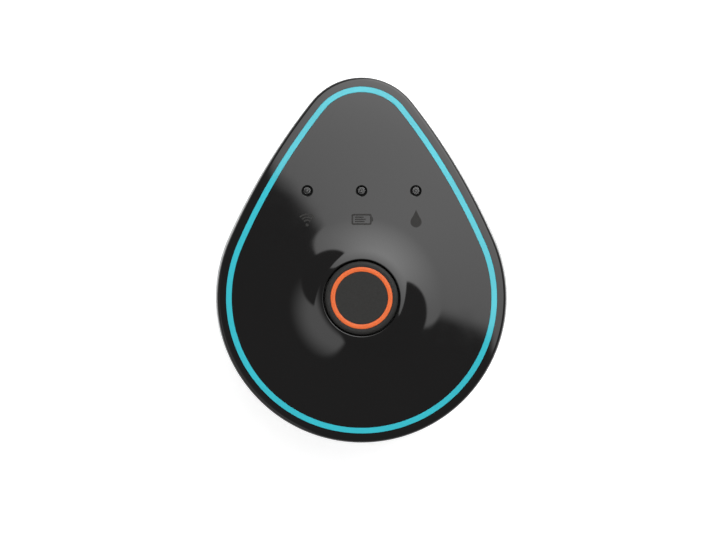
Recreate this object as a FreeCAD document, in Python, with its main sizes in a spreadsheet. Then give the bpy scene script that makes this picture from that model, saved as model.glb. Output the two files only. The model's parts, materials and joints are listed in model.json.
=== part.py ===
import FreeCAD, Part
import math
import os
import re
import Sketcher
from FreeCAD import Vector

# Irrigation valve control unit, lying on its back with the drop's tip towards +Y.
# The origin is on the back plane, under the middle of the unit's box. Millimetres.

# Driving dimensions
SIZES = {
    # drop outline of the black face: two end circles joined by long flank arcs
    "drop_length": 100.0,
    "bottom_radius": 39.6,
    "tip_radius": 17.4,
    "flank_radius": 174.0,
    # how far the pale housing stands proud of the face at the flanks
    "housing_proud": 0.4,
    # face: height above the seam, the big dome, walls and edges
    "face_height": 11.3,
    "crown_fall": 4.4,
    "cover_wall": 2.4,
    "skirt_wall": 1.4,
    "face_edge_radius": 1.5,
    # raised collar round the button
    "lip_height": 1.4,
    "lip_radius": 9.6,
    "lip_shoulder": 13.0,
    "collar_foot": 22.0,
    # coloured line let into the face
    "line_inset": 2.3,
    "line_width": 1.6,
    "line_depth": 1.0,
    # control button
    "button_radius": 10.0,
    "button_gap": 0.4,
    "button_rise": 0.3,
    "button_edge": 0.8,
    "button_plate": 2.2,
    "button_wall": 1.8,
    "button_flange": 1.2,
    "flange_height": 1.2,
    "button_travel": 0.9,
    "button_play": 0.3,
    "ledge_depth": 3.0,
    "well_wall": 1.6,
    "ring_radius": 7.85,
    "ring_width": 1.7,
    "ring_depth": 1.0,
    "stem_radius": 2.5,
    # rubber boot and contact under the button
    "boot_rim_height": 1.4,
    "boot_rim_width": 2.6,
    "boot_web": 0.7,
    "boot_top_radius": 4.0,
    "pill_radius": 2.0,
    "pill_height": 0.9,
    "pad_height": 0.2,
    # status indicators
    "indicator_margin": 13.6,
    "indicator_pitch": 14.9,
    "window_radius": 1.05,
    "window_gap": 0.05,
    "window_recess": 0.25,
    "bezel_radius": 1.5,
    "bezel_depth": 0.4,
    "window_flange": 0.8,
    "led_width": 2.0,
    "led_length": 1.25,
    "led_height": 0.8,
    "led_gap": 0.4,
    # rear housing
    "housing_wall": 2.8,
    "back_wall": 2.5,
    "back_edge_radius": 6.0,
    "seam_edge": 0.5,
    "seam_margin": 0.7,
    "seam_reveal": 0.3,
    "tongue_height": 3.0,
    "gasket_height": 1.0,
    "fit_gap": 0.1,
    # block battery
    "battery_length": 46.4,
    "battery_width": 26.5,
    "battery_thickness": 17.5,
    "battery_corner": 2.5,
    "terminal_height": 2.1,
    "terminal_pitch": 12.7,
    "terminal_small": 2.85,
    "terminal_large": 4.2,
    # battery drawer and its chamber
    "battery_gap": 0.3,
    "battery_headroom": 0.5,
    "slide_gap": 0.3,
    "tray_wall": 1.5,
    "tray_side": 11.0,
    "tray_stop": 2.4,
    "rail_height": 7.0,
    "rail_overrun": 3.2,
    "rail_end_gap": 0.6,
    "chamber_floor": 4.5,
    "chamber_wall": 1.6,
    "chamber_corner": 2.0,
    "panel_seat": 6.5,
    "panel_rim": 1.6,
    "panel_gap": 0.3,
    "plug_depth": 3.5,
    "seal_width": 1.6,
    "seal_depth": 0.9,
    "seal_gap": 0.05,
    "grip_radius": 9.0,
    "grip_depth": 2.6,
    "grip_width": 18.0,
    # contact carrier at the end of the chamber
    "carrier_plate": 1.6,
    "carrier_block_width": 22.0,
    "carrier_block_height": 14.0,
    "contact_gap": 0.1,
    "strip_thickness": 0.4,
    "strip_width": 5.0,
    "strip_leaf": 8.0,
    # circuit board
    "board_gap": 0.4,
    "board_thickness": 1.6,
    "board_inset": 6.5,
    "board_relief": 0.4,
    "board_screw_x": 20.5,
    "board_screw_low": -14.0,
    "board_screw_high": 20.0,
    "board_screw_radius": 1.1,
    "board_screw_head": 2.0,
    "board_screw_head_height": 1.3,
    "board_screw_length": 7.0,
    "board_post_radius": 2.6,
    # housing screws
    "screw_margin": 8.6,
    "screw_angle": 35.0,
    "tip_screw_margin": 9.5,
    "boss_radius": 4.2,
    "cover_boss_radius": 3.0,
    "screw_radius": 1.5,
    "screw_head_radius": 2.75,
    "screw_head_height": 2.0,
    "screw_head_depth": 12.0,
    "screw_bite": 6.0,
    "screw_gap": 0.1,
    "thread_gap": 0.02,
    "socket_key": 1.25,
    "key_depth": 1.2,
    # fixing to the valve
    "insert_spacing": 50.0,
    "insert_radius": 2.8,
    "insert_bore": 1.65,
    "insert_length": 8.0,
    "insert_wall": 1.8,
    # valve socket in the back
    "socket_place": 25.0,
    "socket_width": 16.0,
    "socket_length": 9.0,
    "socket_corner": 1.5,
    "socket_depth": 10.0,
    "socket_wall": 1.6,
    "socket_rib": 1.2,
    "pin_pitch": 8.0,
    "pin_radius": 0.8,
    "pin_setback": 3.0,
    "pin_tail": 3.0,
    "lead_radius": 0.9,
    "face_seal_margin": 1.2,
    "face_seal_width": 1.5,
    "face_seal_depth": 1.0,
    "face_seal_recess": 0.05,
    # pressure vent
    "vent_across": 29.0,
    "vent_height": -14.0,
    "vent_hole": 1.0,
    "membrane_radius": 3.2,
    "membrane_thickness": 0.4,
    # stiffening ribs of the back wall
    "rib_thickness": 1.4,
    "rib_height": 4.0,
    "rib_low": -19.2,
    "rib_high": 7.0,
    # electronic parts on the board
    "radio_width": 12.0,
    "radio_length": 8.5,
    "radio_height": 2.2,
    "radio_rise": 9.5,
    "chip_size": 7.0,
    "chip_height": 1.0,
    "chip_margin": 14.1,
    "chip_drop": 14.0,
    "crystal_width": 1.5,
    "crystal_length": 3.2,
    "crystal_height": 0.8,
    "capacitor_radius": 3.15,
    "capacitor_height": 5.4,
    "coil_size": 6.0,
    "coil_height": 3.0,
    "coil_across": 13.5,
    "coil_margin": 12.5,
    "passive_width": 0.8,
    "passive_length": 1.6,
    "passive_height": 0.5,
    "passive_pitch": 1.9,
    "passive_gap": 1.6,
}

# Places and sizes worked out from the driving dimensions
WORKED = {
    "axis_y": "bottom_radius - drop_length / 2",
    "tip_y": "drop_length / 2 - tip_radius",
    "indicator_y": "tip_y - indicator_margin",
    "crown_radius": "((drop_length - bottom_radius) ^ 2 + crown_fall ^ 2) / (2 * crown_fall)",
    # heights from the back to the board
    "tray_z": "chamber_floor + slide_gap",
    "battery_z": "tray_z + tray_wall",
    "battery_top": "battery_z + battery_thickness",
    "chamber_roof": "battery_top + battery_headroom",
    "recess_floor": "chamber_floor - panel_rim",
    "recess_roof": "chamber_roof + panel_rim",
    "frame_top": "recess_roof + chamber_wall",
    "board_z": "frame_top + board_gap",
    "board_top": "board_z + board_thickness",
    # heights from the seam to the face
    "seam_z": "frame_top + seam_margin",
    "skirt_z": "seam_z + seam_reveal",
    "tongue_z": "seam_z + tongue_height",
    "ledge_z": "tongue_z + gasket_height",
    "crown_z": "seam_z + face_height",
    "lip_z": "crown_z + lip_height",
    "tongue_inset": "skirt_wall + fit_gap",
    # button
    "button_z": "lip_z + button_rise",
    "well_ledge": "lip_z - ledge_depth",
    "flange_top": "well_ledge - button_play",
    "flange_z": "flange_top - flange_height",
    "flange_radius": "button_radius + button_flange",
    "hole_radius": "button_radius + button_gap",
    "well_radius": "flange_radius + button_gap",
    "well_outer": "well_radius + well_wall",
    "plate_z": "button_z - button_plate",
    "boot_rim_z": "board_top + boot_rim_height",
    "pill_z": "board_top + pad_height + button_travel + contact_gap",
    "boot_post_z": "pill_z + pill_height",
    "boot_top": "flange_z - boot_web - contact_gap",
    # chamber and drawer, seen from above
    "tray_half": "battery_width / 2 + battery_gap + tray_wall",
    "chamber_half": "tray_half + slide_gap",
    "chamber_outer": "chamber_half + chamber_wall",
    "recess_half": "chamber_half + panel_rim",
    "seat_y": "panel_seat - drop_length / 2",
    "battery_y": "seat_y + plug_depth",
    "battery_end": "battery_y + battery_length",
    "terminal_y": "battery_end + terminal_height",
    "tray_end": "battery_end + battery_gap + tray_wall",
    "rail_end": "tray_end + rail_overrun",
    "plate_y": "rail_end + rail_end_gap",
    "chamber_end": "plate_y + carrier_plate",
    "plug_z": "chamber_roof - slide_gap",
    "strip_y": "terminal_y + contact_gap",
    "block_y": "strip_y + strip_thickness + contact_gap",
    "strip_low": "battery_z + (battery_thickness - strip_leaf) / 2",
    "strip_high": "strip_low + strip_leaf",
    "strip_back": "chamber_end + fit_gap",
    # screws
    "screw_reach": "bottom_radius - screw_margin",
    "screw_x": "screw_reach * cos(screw_angle)",
    "screw_y": "axis_y - screw_reach * sin(screw_angle)",
    "tip_screw_y": "drop_length / 2 - tip_screw_margin",
    "screw_end": "seam_z + screw_bite",
    # parts on the board
    "radio_y": "indicator_y + radio_rise",
    "chip_x": "bottom_radius - board_inset - chip_margin",
    "chip_y": "indicator_y - chip_drop",
    "coil_y": "board_inset + coil_margin - drop_length / 2",
    # windows
    "window_z": "board_top + led_height + led_gap",
}

# Two places this close count as one
NEAR = 0.01

NODES = []


def full(text):
    """Writes an expression with every worked value replaced and every size named in the sheet."""
    while True:
        wider = re.sub(r"[a-z_]+", lambda m: "(" + WORKED[m.group()] + ")" if m.group() in WORKED
                       else m.group(), text)
        if wider == text:
            break
        text = wider
    return re.sub(r"[a-z_]+", lambda m: "Sizes." + m.group() if m.group() in SIZES
                  else m.group(), text).replace("cos(", "cos(1 deg * ").replace("sin(", "sin(1 deg * ")


def num(text):
    value = sheet.evalExpression(full(text))
    return float(getattr(value, "Value", value))


def bind(thing, path, text):
    thing.setExpression(path, full(text))


def add(kind, name):
    return doc.addObject(kind, name)


def put(thing, x="0", y="0", z="0"):
    bind(thing, "Placement.Base.x", x)
    bind(thing, "Placement.Base.y", y)
    bind(thing, "Placement.Base.z", z)
    return thing


def keep(thing):
    """Marks a finished piece: its label is the name of its node."""
    NODES.append(thing)
    return thing


# Sketches

def sketch_on(body, name, role, offset="0"):
    sketch = body.newObject("Sketcher::SketchObject", name)
    plane = [f for f in body.Origin.OriginFeatures if f.Role == role][0]
    sketch.AttachmentSupport = [(plane, "")]
    sketch.MapMode = "FlatFace"
    bind(sketch, "AttachmentOffset.Base.z", offset)
    return sketch


def arc(cx, cy, radius, start, end):
    circle = Part.Circle(Vector(cx, cy, 0), Vector(0, 0, 1), radius)
    return Part.ArcOfCircle(circle, start, end)


def line(a, b):
    return Part.LineSegment(Vector(a[0], a[1], 0), Vector(b[0], b[1], 0))


def hold(sketch, kind, first, second, text):
    """Adds a distance or radius and ties it to its expression."""
    value = num(text)
    if kind == "Radius":
        index = sketch.addConstraint(Sketcher.Constraint(kind, first[0], value))
    else:
        index = sketch.addConstraint(
            Sketcher.Constraint(kind, first[0], first[1], second[0], second[1], value))
    bind(sketch, "Constraints[%d]" % index, text)


ORIGIN = (-1, 1)


def drop(sketch, inset="0", proud="0"):
    """Draws the drop: bottom circle, left flank, tip circle and right flank, all tangent."""
    rb = "bottom_radius + (%s) - (%s)" % (proud, inset)
    rt = "tip_radius + (%s) - (%s)" % (proud, inset)
    rf = "flank_radius + (%s) - (%s)" % (proud, inset)
    low = "axis_y + (%s)" % proud
    high = "tip_y - (%s)" % proud
    b, t, f = num(rb), num(rt), num(rf)
    yb, yt = num(low), num(high)
    run = yt - yb
    to_bottom, to_tip = f - b, f - t
    fall = (to_tip ** 2 - to_bottom ** 2 - run ** 2) / (2 * run)
    side = math.sqrt(to_bottom ** 2 - fall ** 2)
    low_turn = math.atan2(fall, side)
    high_turn = math.atan2(fall + run, side)
    first = sketch.addGeometry([
        arc(0, yb, b, math.pi - low_turn, 2 * math.pi + low_turn),
        arc(-side, yb - fall, f, low_turn, high_turn),
        arc(0, yt, t, high_turn, math.pi - high_turn),
        arc(side, yb - fall, f, math.pi - high_turn, math.pi - low_turn)])[0]
    bottom, right, tip, left = first, first + 1, first + 2, first + 3
    sketch.addConstraint([
        Sketcher.Constraint("Tangent", bottom, 2, right, 1),
        Sketcher.Constraint("Tangent", right, 2, tip, 1),
        Sketcher.Constraint("Tangent", tip, 2, left, 1),
        Sketcher.Constraint("Tangent", left, 2, bottom, 1),
        Sketcher.Constraint("Equal", right, left),
        Sketcher.Constraint("PointOnObject", bottom, 3, -2),
        Sketcher.Constraint("PointOnObject", tip, 3, -2)])
    hold(sketch, "Radius", (bottom,), None, rb)
    hold(sketch, "Radius", (right,), None, rf)
    hold(sketch, "Radius", (tip,), None, rt)
    hold(sketch, "DistanceY", ORIGIN, (bottom, 3), low)
    hold(sketch, "DistanceY", ORIGIN, (tip, 3), high)


def polygon(sketch, corners):
    """Draws a closed outline through corners given as pairs of expressions."""
    points = [(num(x), num(y)) for x, y in corners]
    count = len(points)
    sketch.addGeometry([line(points[i], points[(i + 1) % count]) for i in range(count)])
    for i in range(count):
        sketch.addConstraint(Sketcher.Constraint("Coincident", i, 2, (i + 1) % count, 1))
    for i, (x, y) in enumerate(corners):
        hold(sketch, "DistanceX", ORIGIN, (i, 1), x)
        hold(sketch, "DistanceY", ORIGIN, (i, 1), y)


def rounded(sketch, half, low, high, corner):
    """Draws a rectangle with rounded corners, even about the vertical axis."""
    w, lo, hi, c = num(half), num(low), num(high), num(corner)
    quarter = math.pi / 2
    first = sketch.addGeometry([
        line((c - w, lo), (w - c, lo)),
        arc(w - c, lo + c, c, -quarter, 0),
        line((w, lo + c), (w, hi - c)),
        arc(w - c, hi - c, c, 0, quarter),
        line((w - c, hi), (c - w, hi)),
        arc(c - w, hi - c, c, quarter, 2 * quarter),
        line((-w, hi - c), (-w, lo + c)),
        arc(c - w, lo + c, c, 2 * quarter, 3 * quarter)])[0]
    floor, right, roof, left = first, first + 2, first + 4, first + 6
    for i in range(8):
        sketch.addConstraint(Sketcher.Constraint("Tangent", first + i, 2, first + (i + 1) % 8, 1))
    for i in (floor, roof):
        sketch.addConstraint(Sketcher.Constraint("Horizontal", i))
    for i in (right, left):
        sketch.addConstraint(Sketcher.Constraint("Vertical", i))
    for i in (3, 5, 7):
        sketch.addConstraint(Sketcher.Constraint("Equal", first + 1, first + i))
    hold(sketch, "Radius", (first + 1,), None, corner)
    hold(sketch, "DistanceX", ORIGIN, (right, 1), half)
    hold(sketch, "DistanceX", (left, 1), ORIGIN, half)
    hold(sketch, "DistanceY", ORIGIN, (floor, 1), low)
    hold(sketch, "DistanceY", ORIGIN, (roof, 1), high)


# Features and solids

def pad(body, sketch, length):
    feature = body.newObject("PartDesign::Pad", sketch.Name + "_pad")
    feature.Profile = sketch
    bind(feature, "Length", length)
    sketch.Visibility = False
    return feature


def turn(body, sketch, kind="PartDesign::Revolution"):
    feature = body.newObject(kind, sketch.Name + "_turn")
    feature.Profile = sketch
    feature.ReferenceAxis = (sketch, ["V_Axis"])
    feature.Angle = 360
    return feature


def dress_edges(body, size, chosen, kind="PartDesign::Fillet"):
    """Rounds, or bevels, the edges of the body's last feature that the test picks out."""
    doc.recompute()
    base = body.Tip
    names = ["Edge%d" % (i + 1) for i, edge in enumerate(base.Shape.Edges) if chosen(edge)]
    feature = body.newObject(kind, body.Name + "_edges%d" % len(body.Group))
    feature.Base = (base, names)
    bind(feature, "Radius" if kind == "PartDesign::Fillet" else "Size", size)
    return feature


def cylinder(name, radius, height, x="0", y="0", z="0"):
    solid = add("Part::Cylinder", name)
    bind(solid, "Radius", radius)
    bind(solid, "Height", height)
    return put(solid, x, y, z)


def block(name, width, length, height, x="0", y="0", z="0"):
    """A box centred on x and y, standing on z."""
    solid = add("Part::Box", name)
    bind(solid, "Length", width)
    bind(solid, "Width", length)
    bind(solid, "Height", height)
    return put(solid, "(%s) - (%s) / 2" % (x, width), "(%s) - (%s) / 2" % (y, length), z)


def span(name, x, y, z):
    """A box from low to high along each axis, given as pairs of expressions."""
    solid = add("Part::Box", name)
    for prop, (low, high) in (("Length", x), ("Width", y), ("Height", z)):
        bind(solid, prop, "(%s) - (%s)" % (high, low))
    return put(solid, x[0], y[0], z[0])


def fuse(name, parts):
    solid = add("Part::MultiFuse", name)
    solid.Shapes = parts
    return solid


def cut(name, base, tools):
    solid = add("Part::Cut", name)
    solid.Base = base
    solid.Tool = tools[0] if len(tools) == 1 else fuse(name + "_tools", tools)
    return solid


def common(name, parts):
    solid = add("Part::MultiCommon", name)
    solid.Shapes = parts
    return solid


def group(name, parts):
    solids = add("Part::Compound", name)
    solids.Links = parts
    return solids


def turned(name, corners, x="0", y="0"):
    """A turned piece from a half profile of radius and height pairs."""
    body = add("PartDesign::Body", name)
    sketch = sketch_on(body, name + "_profile", "XZ_Plane")
    polygon(sketch, corners)
    turn(body, sketch)
    return put(body, x, y)


def prism_y(name, half, low, high, corner, near, far):
    """A rounded bar along Y from near, the larger y, to far."""
    body = add("PartDesign::Body", name)
    sketch = sketch_on(body, name + "_outline", "XZ_Plane", "-(%s)" % near)
    rounded(sketch, half, low, high, corner)
    pad(body, sketch, "(%s) - (%s)" % (near, far))
    return body


def prism_z(name, half, low, high, corner, floor, height):
    """A rounded block standing on floor."""
    body = add("PartDesign::Body", name)
    sketch = sketch_on(body, name + "_outline", "XY_Plane", floor)
    rounded(sketch, half, low, high, corner)
    pad(body, sketch, height)
    return body


def drop_slab(name, floor, top, inset="0", proud="0", hollow=None):
    """A plate or ring of the drop outline; hollow is the inset of its inner outline."""
    body = add("PartDesign::Body", name)
    sketch = sketch_on(body, name + "_outline", "XY_Plane", floor)
    drop(sketch, inset, proud)
    if hollow:
        drop(sketch, hollow)
    pad(body, sketch, "(%s) - (%s)" % (top, floor))
    return body


# The face: a shallow dome that sweeps up to the collar round the button

def dome_at(across, along, sink="0"):
    """Height of the dome, sunk by an amount, above a place on the unit."""
    return ("crown_z - crown_radius + sqrt((crown_radius - (%s)) ^ 2 - (%s) ^ 2 - ((%s) - (axis_y)) ^ 2)"
            % (sink, across, along))


def shape_face(body, sink="0", collar=False, below=False):
    """Turns away what lies above the face, or below it, about the button's axis.

    The profile runs along the dome and, with the collar, up a hollow sweep and over a round
    shoulder. The shoulder turns level inside the button's well, so the lip slopes a little outward.
    """
    radius = "crown_radius - (%s)" % sink
    centre = "crown_z - crown_radius"
    reach = "drop_length"
    end = "crown_z - drop_length / 2" if below else "lip_z + drop_length / 4"
    sketch = sketch_on(body, body.Name + ("_under" if below else "_over"), "XZ_Plane", "-(axis_y)")
    big, mid, stop = num(radius), num(centre), num(end)
    rim = (num(reach), mid + math.sqrt(big ** 2 - num(reach) ** 2))
    start = math.pi / 2
    inner = [line((0, stop), (0, mid + big))]
    if collar:
        foot, lip, lip_z, bend = (num(t) for t in ("collar_foot", "lip_radius", "lip_z", "lip_shoulder"))
        lean = math.asin(foot / big)
        start = math.pi / 2 - lean
        foot_z = mid + big * math.cos(lean)
        across, up = foot - lip, foot_z - lip_z + bend
        away = across * math.sin(lean) + up * math.cos(lean)
        sweep = (across ** 2 + up ** 2 - bend ** 2) / (2 * (bend - away))
        cx, cz = foot + sweep * math.sin(lean), foot_z + sweep * math.cos(lean)
        turn_to = math.atan2(cz - lip_z + bend, cx - lip)
        inner = [line((0, stop), (0, lip_z)), line((0, lip_z), (lip, lip_z)),
                 arc(lip, lip_z - bend, bend, turn_to, math.pi / 2),
                 arc(cx, cz, sweep, turn_to + math.pi, 1.5 * math.pi - lean)]
    sketch.addGeometry([arc(0, mid, big, math.atan2(rim[1] - mid, rim[0]), start),
                        line(rim, (rim[0], stop)), line((rim[0], stop), (0, stop))] + inner)
    join = [("Coincident", 0, 1, 1, 1), ("Coincident", 1, 2, 2, 1), ("Coincident", 2, 2, 3, 1),
            ("Vertical", 1), ("Horizontal", 2), ("Vertical", 3), ("PointOnObject", 2, 2, -2),
            ("PointOnObject", 0, 3, -2)]
    if collar:
        join += [("Coincident", 3, 2, 4, 1), ("Horizontal", 4), ("Tangent", 4, 2, 5, 2),
                 ("Tangent", 5, 1, 6, 1), ("Tangent", 6, 2, 0, 2)]
    else:
        join += [("Coincident", 3, 2, 0, 2)]
    sketch.addConstraint([Sketcher.Constraint(*entry) for entry in join])
    hold(sketch, "Radius", (0,), None, radius)
    hold(sketch, "DistanceY", (0, 3), ORIGIN, "-(%s)" % centre)
    hold(sketch, "DistanceX", ORIGIN, (1, 1), reach)
    hold(sketch, "DistanceY", ORIGIN, (1, 2), end)
    if collar:
        hold(sketch, "Radius", (5,), None, "lip_shoulder")
        hold(sketch, "DistanceX", ORIGIN, (5, 2), "lip_radius")
        hold(sketch, "DistanceY", ORIGIN, (5, 2), "lip_z")
        hold(sketch, "DistanceX", ORIGIN, (6, 2), "collar_foot")
    turn(body, sketch, "PartDesign::Groove")


def on_outline(edge):
    """True where both ends and the middle of an edge lie on the drop outline."""
    b, t, f = num("bottom_radius"), num("tip_radius"), num("flank_radius")
    yb, yt = num("axis_y"), num("tip_y")
    run = yt - yb
    fall = ((f - t) ** 2 - (f - b) ** 2 - run ** 2) / (2 * run)
    side = math.sqrt((f - b) ** 2 - fall ** 2)
    for share in (0.0, 0.5, 1.0):
        p = edge.valueAt(edge.FirstParameter + share * (edge.LastParameter - edge.FirstParameter))
        misses = [abs(math.hypot(p.x, p.y - yb) - b), abs(math.hypot(p.x, p.y - yt) - t),
                  abs(math.hypot(abs(p.x) + side, p.y - yb + fall) - f)]
        if min(misses) > NEAR:
            return False
    return True


def make_face_form():
    body = drop_slab("face_form", "skirt_z", "lip_z + lip_height")
    shape_face(body, collar=True)
    floor = num("skirt_z") + NEAR
    dress_edges(body, "face_edge_radius", lambda e: on_outline(e) and e.BoundBox.ZMin > floor
                and not isinstance(e.Curve, Part.Line))
    return body


def make_cover_hollow():
    """The space inside the cover: a wide rebate for the tongue, then the domed room above."""
    body = drop_slab("cover_hollow", "seam_z - tongue_height", "ledge_z", "skirt_wall")
    upper = sketch_on(body, "cover_room", "XY_Plane", "ledge_z")
    drop(upper, "cover_wall")
    pad(body, upper, "crown_z - (ledge_z)")
    shape_face(body, "cover_wall")
    return body


def make_outline_ring():
    ring = drop_slab("outline_ring", "crown_z - drop_length / 12", "lip_z", "line_inset",
                     hollow="line_inset + line_width")
    shape_face(ring)
    shape_face(ring, "line_depth", below=True)
    return keep(ring)


SCREW_PLACES = [("right", "screw_x", "screw_y"), ("left", "-(screw_x)", "screw_y"),
                ("tip", "0", "tip_screw_y")]
INDICATORS = [("left", "-indicator_pitch"), ("centre", "0"), ("right", "indicator_pitch")]
PASSIVES = 6
BOARD_SCREWS = [("a", "board_screw_x", "board_screw_low"), ("b", "-board_screw_x", "board_screw_low"),
                ("c", "board_screw_x", "board_screw_high"), ("d", "-board_screw_x", "board_screw_high")]


def make_front_cover(ring):
    shell = cut("cover_shell", make_face_form(), [make_cover_hollow()])
    well = cylinder("cover_well", "well_outer", "crown_z - (boot_rim_z)", "0", "axis_y", "boot_rim_z")
    adds = [shell, well]
    takes = [cylinder("cover_hole", "hole_radius", "drop_length", "0", "axis_y", "0"),
             cylinder("cover_counterbore", "well_radius", "well_ledge", "0", "axis_y", "0"), ring]
    for side, x, y in SCREW_PLACES:
        top = dome_at(x, y, "cover_wall / 2")
        adds.append(cylinder("cover_boss_" + side, "cover_boss_radius", "%s - (seam_z)" % top, x, y,
                             "seam_z"))
        takes.append(cylinder("cover_pilot_" + side, "screw_radius + thread_gap", "screw_end", x, y))
    for side, x in INDICATORS:
        takes.append(cylinder("window_hole_" + side, "window_radius + window_gap", "lip_z",
                              x, "indicator_y", "0"))
        bezel = add("Part::Cone", "bezel_" + side)
        bind(bezel, "Radius1", "window_radius + window_gap")
        bind(bezel, "Radius2", "2 * bezel_radius - window_radius - window_gap")
        bind(bezel, "Height", "2 * bezel_depth")
        takes.append(put(bezel, x, "indicator_y",
                         "%s - bezel_depth" % dome_at(x, "indicator_y")))
    return keep(cut("front_cover", fuse("cover_body", adds), takes))


def make_windows():
    for side, x in INDICATORS:
        top = "%s - window_recess" % dome_at(x, "indicator_y")
        inner = "%s - fit_gap" % dome_at(x, "indicator_y", "cover_wall + window_flange")
        low = "window_z"
        keep(turned("led_window_" + side, [
            ("0", low), ("window_radius", low), ("window_radius", inner),
            ("bezel_radius", inner), ("bezel_radius", "%s + window_flange" % inner),
            ("window_radius", "%s + window_flange" % inner), ("window_radius", top), ("0", top)],
            x, "indicator_y"))


def make_gasket():
    keep(drop_slab("housing_gasket", "tongue_z", "ledge_z", "tongue_inset", hollow="housing_wall"))


# Rear housing

def make_housing_form():
    body = drop_slab("housing_form", "0", "seam_z", proud="housing_proud")
    dress_edges(body, "back_edge_radius", lambda e: e.BoundBox.ZMax < NEAR)
    top = num("seam_z") - NEAR
    dress_edges(body, "seam_edge", lambda e: e.BoundBox.ZMin > top, "PartDesign::Chamfer")
    return body


def make_rear_housing(form):
    tongue = drop_slab("housing_tongue", "seam_z - tongue_height", "tongue_z", "tongue_inset",
                       hollow="housing_wall")
    room = drop_slab("housing_room", "back_wall", "tongue_z", "housing_wall")
    shell = cut("housing_shell", form, [room])
    tube = span("chamber_tube", ("-(chamber_outer)", "chamber_outer"), ("seat_y", "chamber_end"),
                ("back_wall / 2", "chamber_roof + chamber_wall"))
    frame = span("mouth_frame", ("-(recess_half) - chamber_wall", "recess_half + chamber_wall"),
                 ("-drop_length / 2", "seat_y + plug_depth"), ("back_wall / 2", "frame_top"))
    adds = [tube, frame]
    takes = [prism_y("chamber_room", "chamber_half", "chamber_floor", "chamber_roof", "chamber_corner",
                     "chamber_end + chamber_wall", "-drop_length / 2"),
             prism_y("panel_recess", "recess_half", "recess_floor", "recess_roof",
                     "chamber_corner + panel_rim", "seat_y", "-drop_length")]
    for side, x, y in SCREW_PLACES:
        adds.append(cylinder("housing_boss_" + side, "boss_radius", "seam_z - back_wall / 2", x, y,
                             "back_wall / 2"))
        takes.append(cylinder("housing_bore_" + side, "screw_radius + screw_gap", "seam_z", x, y))
        takes.append(cylinder("housing_counterbore_" + side, "screw_head_radius + screw_gap",
                              "screw_head_depth", x, y))
    for side, x, y in BOARD_SCREWS:
        adds.append(cylinder("board_post_" + side, "board_post_radius", "board_z - back_wall / 2", x, y,
                             "back_wall / 2"))
        takes.append(cylinder("board_pilot_" + side, "board_screw_radius + thread_gap",
                              "board_screw_length", x, y, "board_top - board_screw_length"))
    for side, x in (("left", "-insert_spacing / 2"), ("right", "insert_spacing / 2")):
        adds.append(cylinder("insert_boss_" + side, "insert_radius + insert_wall",
                             "insert_length + insert_wall - back_wall / 2", x, "0", "back_wall / 2"))
        takes.append(cylinder("insert_hole_" + side, "insert_radius", "insert_length", x, "0"))
    adds.append(prism_z("socket_boss", "socket_width / 2 + socket_wall",
                        "socket_place - socket_length / 2 - socket_wall",
                        "socket_place + socket_length / 2 + socket_wall",
                        "socket_corner + socket_wall", "back_wall / 2",
                        "socket_depth + socket_wall - back_wall / 2"))
    rib = block("socket_rib_body", "socket_rib * 2", "socket_rib * 2", "socket_depth", "0",
                "socket_place + socket_length / 2")
    socket = prism_z("socket_room", "socket_width / 2", "socket_place - socket_length / 2",
                     "socket_place + socket_length / 2", "socket_corner", "0", "socket_depth")
    takes.append(cut("socket_recess", socket, [rib]))
    for side, x in (("left", "-pin_pitch / 2"), ("right", "pin_pitch / 2")):
        takes.append(cylinder("pin_hole_" + side, "pin_radius", "socket_depth + socket_wall * 2",
                              x, "socket_place"))
    takes.append(make_face_seal("seal_groove", "0"))
    takes.append(cylinder("vent_bore", "vent_hole", "back_wall * 2", "-vent_across", "vent_height"))
    for name in ("rib_low", "rib_high"):
        adds.append(block(name + "_body", "bottom_radius * 2", "rib_thickness", "rib_height", "0",
                          name, "back_wall / 2"))
    inner = common("housing_inner", [fuse("housing_details", adds), form])
    return keep(cut("rear_housing", fuse("housing_whole", [shell, tongue, inner]), takes))


def make_face_seal(name, recess):
    """The seal ring round the valve socket, let into the back, and its groove."""
    rings = []
    for part, grow in (("outer", "face_seal_margin + face_seal_width"), ("inner", "face_seal_margin")):
        rings.append(prism_z(name + "_" + part, "socket_width / 2 + %s" % grow,
                             "socket_place - socket_length / 2 - (%s)" % grow,
                             "socket_place + socket_length / 2 + %s" % grow,
                             "socket_corner + %s" % grow, recess,
                             "face_seal_depth - (%s)" % recess))
    return cut(name, rings[0], [rings[1]])


def make_screws():
    screws = []
    for side, x, y in SCREW_PLACES:
        low = "screw_head_depth - screw_head_height"
        solid = fuse("screw_solid_" + side, [
            cylinder("screw_shank_" + side, "screw_radius", "screw_end - screw_head_depth", x, y,
                     "screw_head_depth"),
            cylinder("screw_head_" + side, "screw_head_radius", "screw_head_height", x, y, low)])
        key = add("Part::Prism", "screw_key_" + side)
        bind(key, "Circumradius", "socket_key")
        bind(key, "Height", "key_depth")
        put(key, x, y, low)
        screws.append(cut("screw_" + side, solid, [key]))
    keep(group("housing_screws", screws))


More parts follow.
